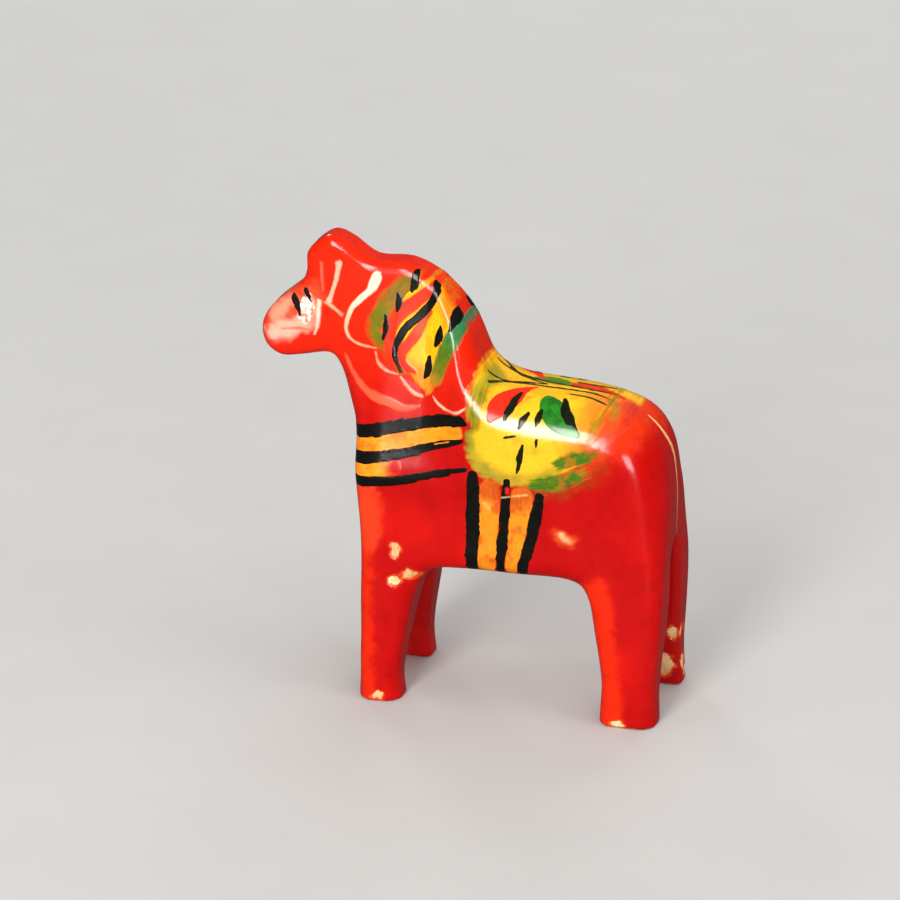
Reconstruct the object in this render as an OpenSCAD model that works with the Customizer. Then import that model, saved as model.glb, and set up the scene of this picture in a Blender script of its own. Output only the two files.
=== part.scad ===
// Carved and painted wooden horse, free-standing, nose towards -Y and left flank towards +X.
// The origin is on the ground, under the middle of the horse. Lengths are in millimetres.
// A block sawn to a side profile, with rounded edges, is dipped in red and then painted by brush.

/* [Size] */
// Height from the soles to the tips of the ears
height = 100; // [70:5:150]

/* [Carved block] */
// Half of the body's width at the belly, for a 100 mm horse
belly_half = 13.4; // [12.6:0.2:14]
// Half of the stance's width, measured at the soles
stance_half = 16.6; // [15.6:0.2:17.4]
// Half of the crest's thickness at the top of the neck
crest_half = 4; // [3.6:0.2:4.6]
// Half of the gap between the left and right legs at the soles
gap_half_low = 9; // [8.4:0.2:9.4]
// Half of the gap between the left and right legs at its top
gap_half_high = 3.8; // [3.4:0.2:4.2]
// Rounding of the back and the rump, measured across the horse
back_round = 10; // [8:0.5:11]
// Rounding of the legs' and the belly's edges
leg_round = 3.6; // [3:0.2:4]
// Rounding of the crest's and the ears' edges
crest_round = 2; // [1.8:0.1:2.4]

/* [Paint] */
// Thickness of the red coat
coat_thick = 0.25; // [0.2:0.05:0.3]
// Thickness of one brush stroke
stroke_thick = 0.15; // [0.12:0.01:0.2]

/* [Facets] */
// Spacing of the lattice that the carved surface is sampled on
facet = 3.9; // [3.7:0.1:4.1]
// Chords along each stretch of the profile
chords = 3; // [3:1:4]
// Sides of the round that each brush dab is drawn with
dab_sides = 6; // [6:1:8]

/* [Hidden] */

// Everything below is drawn for a 100 mm horse and multiplied by this
k = height / 100;
cell = facet * k;

// ---- Side profile, as [y, z] knots joined by a smooth curve ----
FRONT_LEG = [
    [-22.8, 60], [-22.2, 50], [-21, 38], [-20.5, 22], [-20.3, 7], [-19.6, -4],
    [-11.8, -4], [-12, 6], [-10.6, 16], [-8.6, 25], [-5.4, 30]
];
BELLY = [[2, 31], [14, 31], [25, 31]];
HIND_LEG = [
    [29.3, 28], [31.4, 19], [33, 9], [33.6, -4],
    [43.8, -4], [44.4, 10], [45.2, 24], [45.4, 40]
];
BACK = [[45, 51], [43, 60], [38, 66], [28, 69], [15, 70], [8, 71.2]];
CREST = [[3.8, 74.6], [0.4, 83], [-3.6, 89], [-7.6, 92.8], [-13, 95], [-20.6, 95.2]];
EARS = [[-26, 98.5], [-29.6, 99.8], [-32.4, 98.4], [-34.8, 95.6], [-35, 91.6]];
MUZZLE = [
    [-36.6, 88.6], [-42.4, 83.4], [-44.9, 79], [-44.3, 74.6],
    [-41, 72.2], [-36.5, 72.7], [-30, 74.2]
];
THROAT = [[-27, 72], [-24.6, 66]];
PROFILE = concat(FRONT_LEG, BELLY, HIND_LEG, BACK, CREST, EARS, MUZZLE, THROAT);

function knot(i) = PROFILE[(i + len(PROFILE)) % len(PROFILE)];
function bend(a, b, c, d, t) = 0.5 * (
    2 * b + (c - a) * t + (2 * a - 5 * b + 4 * c - d) * t ^ 2 + (3 * b - a - 3 * c + d) * t ^ 3
);
outline = [
    for (i = [0:len(PROFILE) - 1], s = [0:chords - 1])
        bend(knot(i - 1), knot(i), knot(i + 1), knot(i + 2), s / chords)
];

// ---- Distance from a point of the profile's plane to the outline, negative inside ----
function total(list) = list * [for (item = list) 1];
function edge_gap(p, a, b) = let (
    along = max(0, min(1, ((p - a) * (b - a)) / ((b - a) * (b - a))))
) norm(p - a - (b - a) * along);
function crossing(p, a, b) =
    (a.y > p.y) != (b.y > p.y) && p.x < a.x + (b.x - a.x) * (p.y - a.y) / (b.y - a.y) ? 1 : 0;
function profile_gap(p) = let (
    last = len(outline) - 1,
    gap = min([for (i = [0:last]) edge_gap(p, outline[i], outline[i == last ? 0 : i + 1])]),
    crossings = total([for (i = [0:last]) crossing(p, outline[i], outline[i == last ? 0 : i + 1])])
) crossings % 2 == 1 ? -gap : gap;

// ---- The carved block as a field, negative inside the wood ----
function ramp(from, to, v) = let (t = max(0, min(1, (v - from) / (to - from)))) t * t * (3 - 2 * t);
function mix(a, b, t) = a + (b - a) * t;
function blend_max(a, b, r) = let (h = max(r - abs(a - b), 0) / r) max(a, b) + h * h * h * r / 6;

// How far the plan has gone from the neck to the back, and from the nose to the neck
function is_back(y) = ramp(-8, 9, y);
function is_neck(y) = ramp(-40, -16, y);
// 0 at the top of the crest, 1 at the chest
function depth(z) = max(0, min(1, (94 - z) / 44));
function half_width(y, z) = let (
    neck = crest_half + 9.6 * depth(z) ^ 1.15 * is_neck(y),
    body = belly_half + (stance_half - belly_half) * ramp(50, 0, z)
) mix(body, mix(neck, body, is_back(y)), ramp(42, 58, z));
function neck_round(y, z) = crest_round + 1.6 * depth(z) * is_neck(y);
function round_across(y, z) =
    mix(leg_round, mix(neck_round(y, z), back_round, is_back(y)), ramp(26, 58, z));
function round_along(y, z) =
    mix(leg_round, mix(neck_round(y, z), 0.8 * back_round, is_back(y)), ramp(26, 58, z));
function block(gap, x, y, z) = let (
    ra = round_along(y, z),
    rb = round_across(y, z),
    u = (gap + ra) / ra,
    v = (abs(x) - half_width(y, z) + rb) / rb,
    reach = norm([max(u, 0), max(v, 0)])
) (reach > 0 ? reach - 1 : max(u, v) - 1) * min(ra, rb);
// The gap sawn between the left and right legs, higher between the hind legs
function leg_gap(x, y, z) = let (
    top = 31.5 + 6.5 * ramp(20, 40, y) - gap_half_high,
    half = mix(gap_half_low, gap_half_high, ramp(0, 32, z))
) norm([x, max(z - top, 0)]) - half;
function wood(gap, x, y, z) = blend_max(block(gap, x, y, z), -leg_gap(x, y, z), 2.5);

// ---- Lattice, and the surface through its cells ----
nx = 2 * ceil(19 / facet) + 2;
ny = ceil(98 / facet) + 1;
nz = ceil(112 / facet) + 1;
function at(i, j, l) = [(i - (nx - 1) / 2) * facet, -49.3 + j * facet, -7.7 + l * facet];
gaps = [for (j = [0:ny - 1], l = [0:nz - 1]) let (p = at(0, j, l)) profile_gap([p.y, p.z])];
lattice = [
    for (i = [0:nx - 1], j = [0:ny - 1], l = [0:nz - 1])
        let (p = at(i, j, l)) wood(gaps[j * nz + l], p.x, p.y, p.z)
];
// Steps through the lattice along each axis
STEPS = [ny * nz, nz, 1];
CORNERS = [for (a = [0, 1], b = [0, 1], c = [0, 1]) [a, b, c]];
EDGES = [for (c = CORNERS, axis = [0:2]) if (c[axis] == 0) [c, c + unit(axis)]];
function unit(axis) = [for (i = [0:2]) i == axis ? 1 : 0];
function value(m, corner) = lattice[m + corner * STEPS];
function corners_inside(m) = total([for (c = CORNERS) value(m, c) < 0 ? 1 : 0]);
function is_cut(m) = let (inside = corners_inside(m)) inside > 0 && inside < 8;
cells = nx * ny * nz - STEPS.x - STEPS.y - STEPS.z;
cut_cells = [for (m = [0:cells - 1]) if (is_cut(m)) m];
cut_flags = [for (m = [0:cells - 1]) is_cut(m) ? 1 : 0];
numbers = [for (m = 0, n = 0; m < cells; n = n + cut_flags[m], m = m + 1) n];
function origin_of(m) = at(floor(m / STEPS.x), floor(m / STEPS.y) % ny, m % nz);
// Mean of the points where the surface crosses the cell's edges
function middle(m) = let (
    hits = [
        for (e = EDGES) let (a = value(m, e[0]), b = value(m, e[1]))
            if ((a < 0) != (b < 0)) e[0] + (e[1] - e[0]) * a / (a - b)
    ]
) origin_of(m) + facet * total_points(hits) / len(hits);
function total_points(list) = [for (i = [0:2]) total([for (p = list) p[i]])];
// Outward direction: the field's slope over the cell
function outward(m) = let (
    slope = [for (i = [0:2]) total([for (c = CORNERS) value(m, c) * (2 * c[i] - 1)])]
) slope / norm(slope);
middles = [for (m = cut_cells) middle(m)];
outwards = [for (m = cut_cells) outward(m)];
// One four-sided face across each lattice edge that the surface crosses
function face(m, s, t, inside_first) = let (
    loop = [numbers[m], numbers[m - s], numbers[m - s - t], numbers[m - t]]
) inside_first ? [loop[0], loop[3], loop[2], loop[1]] : loop;
faces = [
    for (m = [STEPS.x + STEPS.y + 1:cells - 1], axis = [0:2])
        let (a = lattice[m] < 0, b = lattice[m + STEPS[axis]] < 0)
            if (a != b) face(m, STEPS[(axis + 1) % 3], STEPS[(axis + 2) % 3], a)
];

// The carved surface, grown outwards by a paint thickness
module grown(by) {
    polyhedron(points = [for (i = [0:len(middles) - 1]) middles[i] * k + outwards[i] * by], faces = faces);
}
module under_ground() {
    translate([-30 * k, -60 * k, -20 * k]) cube([60 * k, 120 * k, 20 * k]);
}

module carved_body() {
    color("burlywood") difference() {
        grown(0);
        under_ground();
    }
}

// ---- The red coat, open at the soles and where it has chipped off ----
// Each chip is [y, z, size along, size up], seen from the left flank
CHIPS_LEFT = [[-12.6, 34.4, 1.5, 2.1], [-12.6, 27.6, 1.6, 1.2], [-9.2, 29.4, 2, 1.1]];
CHIPS_FOOT = [[-16, 1.6, 1.6, 1.4], [37, 1.2, 2.2, 1.1]];
// Each rear chip is [x, z, size across, size up], on the back of the hind legs
CHIPS_REAR = [[-12, 5, 2.2, 2.6], [-9.5, 13, 1.2, 1.6], [-13.5, 2, 1.8, 1.6]];

// A ragged scrap: three leaning rounds hulled together
module scrap(u, v, w, h) {
    hull() {
        translate([u - w / 2, v - h / 3]) circle(h / 2, $fn = 7);
        translate([u + w / 3, v - h / 5]) circle(h / 2.4, $fn = 6);
        translate([u + w / 6, v + h / 2]) circle(w / 3, $fn = 5);
    }
}
module chips() {
    sideways(0, 11, 12) for (c = concat(CHIPS_LEFT, CHIPS_FOOT)) scrap(c[0], c[1], c[2], c[3]);
    from_behind(36, 20) for (c = CHIPS_REAR) scrap(c[0], c[1], c[2], c[3]);
}
module red_coat() {
    color("red") difference() {
        grown(coat_thick);
        grown(0);
        under_ground();
        chips();
    }
}

// ---- Brush strokes ----
// A stroke is a list of dabs, [y, z, radius] seen from the flank, each dab hulled to the next
module stroke(dabs) {
    for (i = [0:len(dabs) - 2]) hull() for (dab = [dabs[i], dabs[i + 1]])
        translate([dab[0], dab[1]]) circle(dab[2], $fn = dab_sides);
}
module strokes(list) {
    for (dabs = list) stroke(dabs);
}
// Extrudes what is drawn in the flank's plane outwards. tilt leans the plane: 0 is the left flank
// seen from its side, 45 the shoulder of the back, 90 the top of the back seen from above.
module sideways(tilt, from, deep) {
    scale(k) rotate([0, -tilt, 0]) rotate([90, 0, 90]) translate([0, 0, from])
        linear_extrude(deep) children();
}
// Extrudes what is drawn in the plane of X and Z towards the rump
module from_behind(from, deep) {
    scale(k) translate([0, from + deep, 0]) rotate([90, 0, 0]) linear_extrude(deep) children();
}
module both_flanks() {
    sideways(0, -25, 50) children();
}
// All that lies under the top of a layer of paint, inside the outline of the strokes given
module under(layer) {
    intersection() {
        grown(coat_thick + layer * stroke_thick);
        children();
    }
}
// The first child, painted as the given layer over the red coat and over what the other children hold
module painted(layer) {
    difference() {
        under(layer) children(0);
        grown(coat_thick);
        if ($children > 1) children([1:$children - 1]);
    }
}
module on(side) {
    if (side > 0) children();
    else mirror([1, 0, 0]) children();
}

// ---- Saddle: a yellow field over the back, with leaves, dabs and vines ----
SADDLE_FIELD = [
    [[9.6, 59.6, 7.2], [14, 60, 8.7], [19, 62, 9], [25, 65, 7], [31, 68, 5.4], [36, 70, 3.6]],
    [[8, 67, 5.4], [10, 74, 6], [20, 74, 6], [30, 74, 6], [37, 71, 3]]
];
SADDLE_GREEN = [
    [[17.6, 52.4, 1.1], [22.6, 53.2, 1.7], [28.4, 56.2, 1.1]],
    [[23.4, 57.6, 1.2], [27.4, 59.2, 1.6], [31.6, 60.6, 0.9]],
    [[28.6, 63, 0.7], [30, 65.6, 1.2], [31.4, 68, 0.7]],
    [[5.4, 70, 0.9], [5.2, 67, 1.2], [5, 63.5, 0.8]]
];
// Drawn on the plane leaning 45 degrees
SADDLE_PETAL = [[
    [8, 37.6, 0.8], [8.6, 39, 1.7], [9.6, 40.6, 2.4], [10.8, 42.2, 2.5], [12, 43.8, 2],
    [13, 45.2, 1.3], [14, 46.2, 0.8], [15, 47, 0.4], [15.6, 47.4, 0.3]
]];
SADDLE_LEAF = [[
    [18.8, 44.6, 0.5], [19.2, 43.6, 1.5], [20, 42.4, 2.3], [21, 41, 2.9], [22.2, 39.8, 3],
    [23.4, 38.8, 2.6], [24.6, 37.8, 1.9], [25.8, 37, 1.2], [27, 36.2, 0.5]
]];
SADDLE_DABS_TILTED = [
    [[11, 38, 0.5], [11.8, 40.4, 0.9], [12.6, 43, 0.8], [13.4, 45, 0.3]],
    [[22.4, 44.6, 0.4], [23, 43, 0.9], [23.8, 40.8, 1.1], [25.2, 38.8, 1], [26.6, 37.4, 0.4]],
    [[15.8, 39.8, 0.4], [15, 38.2, 0.7], [14.4, 36.6, 0.4]],
    [[18.4, 40.8, 0.4], [18.2, 39, 0.85], [18.1, 37.2, 0.4]]
];
SADDLE_DABS_SIDE = [
    [[18.3, 62.6, 0.3], [18.1, 60.2, 0.4]],
    [[15.2, 61, 0.4], [14.6, 58, 0.7], [14, 54.8, 0.3]],
    [[11.2, 62.4, 0.3], [13.6, 62.9, 0.3]]
];
// Seen from above as [y, distance from the spine, radius]
SADDLE_VINES = [
    [
        [5, -4, 0.3], [8.5, -3.4, 0.4], [13.5, -1.9, 0.4],
        [20, -1.2, 0.35], [27, -0.9, 0.35], [32, -1.8, 0.25]
    ],
    [[6, -6.8, 0.3], [9, -3.6, 0.4], [13, -1.2, 0.4], [17, 0, 0.3]],
    [[23, -3.6, 0.3], [27, -3.6, 0.4], [31, -4.8, 0.25]]
];
module saddle_field_area() {
    both_flanks() strokes(SADDLE_FIELD);
}
module saddle_petal_area() {
    sideways(45, 40, 30) strokes(SADDLE_PETAL);
}
module saddle_leaf_area() {
    sideways(45, 40, 30) strokes(SADDLE_LEAF);
}
module saddle_field() {
    color("gold") painted(1) saddle_field_area();
}
module saddle_green(side) {
    color("olivedrab") on(side) painted(2) {
        sideways(0, 0, 25) strokes(SADDLE_GREEN);
        under(1) saddle_field_area();
    }
}
module saddle_petal(side) {
    color("firebrick") on(side) painted(2) {
        saddle_petal_area();
        under(1) saddle_field_area();
    }
}
module saddle_leaf(side) {
    color("green") on(side) painted(2) {
        saddle_leaf_area();
        under(1) saddle_field_area();
    }
}
module saddle_dabs(side) {
    color("black") on(side) painted(3) {
        union() {
            sideways(45, 40, 30) strokes(SADDLE_DABS_TILTED);
            sideways(0, 0, 25) strokes(SADDLE_DABS_SIDE);
        }
        under(1) saddle_field_area();
        under(2) saddle_petal_area();
        under(2) saddle_leaf_area();
    }
}
module saddle_vines() {
    color("darkgreen") painted(3) {
        for (side = [1, -1]) on(side) sideways(90, 60, 30) strokes(SADDLE_VINES);
        under(1) saddle_field_area();
        for (side = [1, -1]) on(side) under(2) saddle_petal_area();
        for (side = [1, -1]) on(side) under(2) saddle_leaf_area();
    }
}

// ---- Mane: a leaf of yellow with an olive margin, red and green strokes and black leaves ----
MANE_FIELD = [
    [
        [-7.6, 91.4, 1.6], [-8.4, 89.4, 3], [-9.6, 86.4, 4.4],
        [-10, 83, 5], [-9.6, 79.6, 5.4], [-9, 76.6, 4.8]
    ],
    [[-9, 76.6, 4.4], [-8, 73, 2.8], [-7.4, 70.2, 1]],
    [[-6.4, 89.6, 2.2], [-4.4, 86, 2.6], [-4.4, 82, 2.6]]
];
MANE_OLIVE = [[
    [-10.4, 92.6, 0.8], [-13, 91, 1.6], [-15.2, 88.6, 1.8], [-17.4, 85.8, 1.8], [-19, 83, 1.5],
    [-19.4, 81, 1.3], [-18, 79, 1.3], [-16, 77.6, 1.2], [-14.4, 75.4, 0.9], [-12.4, 73, 0.6]
]];
MANE_RED = [
    [
        [-6.8, 91.2, 0.5], [-9.6, 88.4, 0.95], [-12.8, 85.6, 1],
        [-15.4, 82.2, 1], [-15.7, 78, 0.8], [-14.4, 74.4, 0.4]
    ],
    [[-7, 86, 0.5], [-10.2, 80.6, 1.2], [-12.6, 77.2, 1.2], [-12.6, 74.8, 1], [-9.8, 73, 0.5]]
];
MANE_GREEN = [[
    [-0.4, 84, 0.4], [-0.8, 83, 0.8], [-1.4, 81.6, 1.1], [-2.4, 79.4, 1.2], [-3.4, 77.2, 1.2],
    [-4.2, 75, 1.2], [-4.8, 73, 1.1], [-5.4, 71.4, 0.9], [-6.4, 69.4, 0.5]
]];
// The long S, then the small leaves down each side of it
MANE_S = [
    [-6.6, 91.8, 0.4], [-6.2, 89.4, 0.75], [-8.4, 85.8, 0.85], [-12.2, 82.2, 0.85],
    [-14, 78.6, 0.75], [-14.2, 76, 0.6], [-12.8, 73, 0.3]
];
MANE_LEAVES = [
    [[-10.7, 93.6, 0.5], [-10.8, 91.8, 0.95], [-11.2, 90, 0.4]],
    [[-14.2, 88.9, 0.4], [-14, 87.2, 0.75], [-14.4, 85.4, 0.3]],
    [[-16.8, 84.2, 0.3], [-16.6, 81.8, 0.65], [-17, 79.4, 0.3]],
    [[-1.9, 86.3, 0.45], [-1.6, 84.7, 0.95], [-2.3, 82.9, 0.4]],
    [[-4.4, 83.4, 0.3], [-4.6, 81.2, 0.85], [-5.4, 79, 0.4]],
    [[-6.8, 76.4, 0.4], [-6.8, 74.2, 0.85], [-7.4, 72, 0.3]]
];
module mane_area(list) {
    sideways(0, 0, 25) strokes(list);
}
module mane_field(side) {
    color("goldenrod") on(side) painted(1) mane_area(MANE_FIELD);
}
module mane_olive_area() {
    sideways(0, 0, 25) difference() {
        strokes(MANE_OLIVE);
        strokes(MANE_FIELD);
    }
}
module mane_olive(side) {
    color("olive") on(side) painted(1) mane_olive_area();
}
module mane_colour(list) {
    painted(2) {
        mane_area(list);
        under(1) mane_area(concat(MANE_FIELD, MANE_OLIVE));
    }
}
module mane_red(side) {
    color("firebrick") on(side) mane_colour(MANE_RED);
}
module mane_green(side) {
    color("seagreen") on(side) mane_colour(MANE_GREEN);
}
module mane_black(side) {
    color("black") on(side) painted(3) {
        mane_area(concat([MANE_S], MANE_LEAVES));
        under(1) mane_area(concat(MANE_FIELD, MANE_OLIVE));
        under(2) mane_area(concat(MANE_RED, MANE_GREEN));
    }
}

// ---- Breast strap: three black lines round the chest over ochre ----
CHEST_OCHRE = [
    [
        [-26, 56, 1.6], [-22, 56.4, 1.6], [-18, 57.2, 1.6], [-12.5, 58.4, 1.9],
        [-7.5, 59.8, 2], [-4, 60.7, 2], [0.6, 61.8, 1.2]
    ],
    [[-26, 51, 1.5], [-21.5, 51.3, 1.5], [-17.3, 52.1, 1.5], [-13, 52.8, 1.2]]
];
CHEST_BANDS = [
    [
        [-26, 58.8, 0.9], [-22, 59.2, 1], [-18, 60, 1.1], [-12.5, 61.5, 1.1],
        [-3.5, 63.7, 1], [0.6, 64.3, 0.9], [2.2, 64.2, 0.5]
    ],
    [
        [-26, 53.4, 0.8], [-22, 53.7, 0.9], [-17.5, 54.7, 0.9],
        [-13, 55.6, 0.8], [-5.5, 57.7, 0.6], [1.8, 59.8, 0.3]
    ],
    [
        [-26, 48.6, 0.7], [-21.5, 48.9, 0.8], [-17, 49.5, 0.8],
        [-11.5, 50.3, 0.7], [-3, 52.7, 0.6], [2.4, 53.8, 0.4]
    ]
];
module chest_ochre() {
    color("darkorange") painted(1) both_flanks() strokes(CHEST_OCHRE);
}
module chest_bands() {
    color("black") painted(1) both_flanks() strokes(CHEST_BANDS);
}

// ---- Girth: three black lines down each flank to the belly's edge, over ochre ----
GIRTH_OCHRE = [
    [[8.1, 50.4, 2], [8.1, 47, 2.1], [8, 42, 2.1], [7.8, 37, 2], [7.6, 33.6, 1.9]],
    [[15.2, 49, 2.3], [14.8, 45, 2.1], [14.3, 41, 1.9], [13.7, 37, 1.5], [13, 33.2, 1.2]]
];
GIRTH_LINES = [
    [[4.4, 52.8, 1], [4.5, 48, 1.3], [4.4, 38, 1.3], [4.3, 32.8, 1.2]],
    [[11.8, 52.4, 0.6], [11.5, 46, 0.9], [11, 38, 1], [10.4, 32.6, 0.9]],
    [[18.9, 49.6, 0.8], [18.2, 44.5, 1.1], [16.6, 37.5, 1.1], [15.2, 32.8, 1]]
];
module girth_ochre(side) {
    color("orange") on(side) painted(1) sideways(0, 8, 17) difference() {
        strokes(GIRTH_OCHRE);
        strokes(SADDLE_FIELD);
    }
}
module girth_lines(side) {
    color("black") on(side) painted(2) {
        sideways(0, 8, 17) strokes(GIRTH_LINES);
        under(1) saddle_field_area();
    }
}

// ---- Bridle, rein and scallops in pale paint ----
REIN = [[
    [-19.2, 92.2, 1.2], [-19.8, 90.6, 1.2], [-20.6, 89, 0.85], [-22.4, 87.4, 0.8], [-24.4, 85, 0.65],
    [-25.5, 82.2, 0.55], [-25.6, 80, 0.5], [-24.2, 78.2, 0.45], [-21.8, 77.4, 0.4], [-18.6, 77.2, 0.3]
]];
SCALLOPS = [
    [[-18.6, 76.4, 0.3], [-17.9, 74.4, 0.4], [-16.2, 72.9, 0.4], [-13.4, 72.2, 0.3]],
    [[-12.9, 71.6, 0.3], [-11.5, 70.2, 0.4], [-9.8, 68.8, 0.4], [-7.8, 68.2, 0.3]],
    [[-5.4, 68.6, 0.3], [-3.8, 66.9, 0.4], [0, 65.9, 0.4], [2.4, 67.4, 0.3]],
    [
        [-25.6, 75.2, 0.3], [-23.5, 71.4, 0.65], [-20.7, 68.4, 0.95], [-17.2, 66.8, 1.15],
        [-13.8, 65.8, 1.1], [-11.4, 65.4, 0.7], [-8.4, 66, 0.3]
    ]
];
BRIDLE = [
    [[-31.4, 94, 0.4], [-31, 88.2, 0.4]],
    [[-27.6, 94.4, 0.7], [-27.9, 91.6, 0.6], [-28.9, 88, 0.45], [-29.6, 86, 0.85]],
    [[-30.4, 85.6, 0.5], [-28.6, 84.6, 0.45], [-26.6, 83.2, 0.4]],
    [[-31.8, 85.6, 0.5], [-32.3, 80.2, 0.5], [-32.9, 78.2, 0.4]],
    [[-40.4, 78.4, 0.3], [-36.4, 79, 0.4], [-33.6, 78.8, 0.3]]
];
module rein(side) {
    color("bisque") on(side) painted(1) sideways(0, 0, 25) difference() {
        strokes(REIN);
        strokes(MANE_OLIVE);
    }
}
module scallops(side) {
    color("lightsalmon") on(side) painted(1) sideways(0, 0, 25) difference() {
        strokes(SCALLOPS);
        strokes(concat(MANE_FIELD, MANE_OLIVE, SADDLE_FIELD, CHEST_BANDS, REIN));
    }
}
module bridle(side) {
    color("bisque") on(side) painted(1) sideways(0, 0, 25) strokes(BRIDLE);
}

// ---- Eye: a dappled white patch with black marks ----
EYE_WHITE = [[
    [-34, 86.4, 0.7], [-35, 85.2, 0.9], [-35.8, 83.8, 1], [-36, 82.4, 1], [-35.2, 81, 0.9],
    [-34.4, 82, 1], [-34, 83.4, 1], [-33.8, 84.8, 0.8], [-33.4, 86, 0.5]
]];
EYE_BLACK = [
    [[-37.6, 86.2, 0.4], [-37.2, 85.2, 0.9], [-36.9, 83.9, 0.9], [-36.6, 82.8, 0.6], [-36.4, 82, 0.4]],
    [[-34.8, 87.6, 0.5], [-34.6, 87, 0.6], [-34.2, 86.4, 0.5], [-34, 85.8, 0.4], [-33.6, 85.4, 0.3]]
];
module eye_white(side) {
    color("white") on(side) painted(1) sideways(0, 0, 25) strokes(EYE_WHITE);
}
module eye_black(side) {
    color("black") on(side) painted(2) {
        sideways(0, 0, 25) strokes(EYE_BLACK);
        under(1) sideways(0, 0, 25) strokes(EYE_WHITE);
    }
}

// ---- Tail: one pale line down the middle of the rump, as [x, z, radius] seen from behind ----
TAIL_LINE = [[
    [0.4, 65, 0.3], [0, 62.6, 0.5], [-0.8, 60, 0.6], [-1.4, 57.6, 0.6], [-1.6, 55, 0.5],
    [-1.2, 51, 0.35], [-0.6, 47, 0.3], [-0.2, 43, 0.3], [0, 39, 0.25]
]];
module tail_line() {
    color("wheat") painted(1) from_behind(30, 20) strokes(TAIL_LINE);
}

carved_body();
red_coat();
saddle_field();
saddle_vines();
chest_ochre();
chest_bands();
tail_line();
girth_ochre(1);  // girth_ochre_left
girth_ochre(-1);  // girth_ochre_right
girth_lines(1);  // girth_lines_left
girth_lines(-1);  // girth_lines_right
saddle_green(1);  // saddle_green_left
saddle_green(-1);  // saddle_green_right
saddle_petal(1);  // saddle_petal_left
saddle_petal(-1);  // saddle_petal_right
saddle_leaf(1);  // saddle_leaf_left
saddle_leaf(-1);  // saddle_leaf_right
saddle_dabs(1);  // saddle_dabs_left
saddle_dabs(-1);  // saddle_dabs_right
mane_field(1);  // mane_field_left
mane_field(-1);  // mane_field_right
mane_olive(1);  // mane_olive_left
mane_olive(-1);  // mane_olive_right
mane_red(1);  // mane_red_left
mane_red(-1);  // mane_red_right
mane_green(1);  // mane_green_left
mane_green(-1);  // mane_green_right
mane_black(1);  // mane_black_left
mane_black(-1);  // mane_black_right
rein(1);  // rein_left
rein(-1);  // rein_right
scallops(1);  // scallops_left
scallops(-1);  // scallops_right
bridle(1);  // bridle_left
bridle(-1);  // bridle_right
eye_white(1);  // eye_white_left
eye_white(-1);  // eye_white_right
eye_black(1);  // eye_black_left
eye_black(-1);  // eye_black_right
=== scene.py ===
"""Looks of a small carved and brush-painted wooden horse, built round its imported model.

Lengths are in millimetres until a mesh is made. The nose points to -Y, the left flank to +X.
Every layer is drawn on one carved surface: the wood on it, the red coat over the wood, and each
brush stroke as a film of its own over the coat and over the strokes painted before it.
"""
import math

import bmesh
import bpy
import numpy as np
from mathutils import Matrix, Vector


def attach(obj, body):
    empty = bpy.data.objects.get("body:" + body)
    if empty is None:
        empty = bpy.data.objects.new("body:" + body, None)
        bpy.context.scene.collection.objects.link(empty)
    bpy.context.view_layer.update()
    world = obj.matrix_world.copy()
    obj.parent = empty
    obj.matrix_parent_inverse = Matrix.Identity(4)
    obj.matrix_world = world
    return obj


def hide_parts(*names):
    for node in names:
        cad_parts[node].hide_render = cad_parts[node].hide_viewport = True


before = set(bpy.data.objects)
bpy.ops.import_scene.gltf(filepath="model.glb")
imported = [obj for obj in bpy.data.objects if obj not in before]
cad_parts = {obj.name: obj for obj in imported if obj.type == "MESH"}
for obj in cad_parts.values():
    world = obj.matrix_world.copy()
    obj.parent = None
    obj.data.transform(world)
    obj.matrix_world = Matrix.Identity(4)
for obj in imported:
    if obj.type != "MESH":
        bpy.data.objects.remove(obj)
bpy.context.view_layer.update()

MM = 0.001
COAT = 0.25  # thickness of the red coat
FILM = 0.035  # thickness of one film of brush paint
EDGE_SLOPE = 0.18  # how fast a film thins out at its border
DIVE = 0.1  # how deep a film's hidden border goes under the surface it lies on
STEP = 0.5  # spacing of the lattice that the carved surface is sampled on
AWAY = -9.0  # how far inside a stroke, chip or sole a point is that lies nowhere near one


def srgb(red, green, blue):
    """A colour given as it looks on screen, from 0 to 255, as the shaders want it."""
    c = np.array([red, green, blue]) / 255
    return np.where(c < 0.04045, c / 12.92, ((c + 0.055) / 1.055) ** 2.4)


def ramp(start, end, v):
    """Rises smoothly from 0 at start to 1 at end."""
    t = np.clip((v - start) / (end - start), 0, 1)
    return t * t * (3 - 2 * t)


def mix(a, b, t):
    """Goes from a to b as t goes from 0 to 1."""
    return a + (b - a) * t


def blend_max(a, b, r):
    """The larger of two distances, with the edge between them rounded over about r."""
    h = np.maximum(r - np.abs(a - b), 0) / r
    return np.maximum(a, b) + h**3 * r / 6


# ---- Noise: a lattice of random numbers, smoothly interpolated ----
SIDE = 48
LATTICE = np.random.default_rng(11).uniform(-1, 1, SIDE**3)
SEED_SHIFT = 5.37  # moves each seed's noise to another place in the lattice


def noise(p, size, seed=0):
    """Smooth noise from -1 to 1 with features of about this size."""
    q = (p / size + SEED_SHIFT * seed).T
    cell = np.floor(q)
    t = q - cell
    t = t * t * (3 - 2 * t)
    low = cell.astype(np.int32) % SIDE
    high = (low + 1) % SIDE
    value = 0
    for i, across in ((low[0] * SIDE, 1 - t[0]), (high[0] * SIDE, t[0])):
        for j, up in ((low[1], 1 - t[1]), (high[1], t[1])):
            row = (i + j) * SIDE
            value = value + across * up * mix(LATTICE[row + low[2]], LATTICE[row + high[2]], t[2])
    return value


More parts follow.
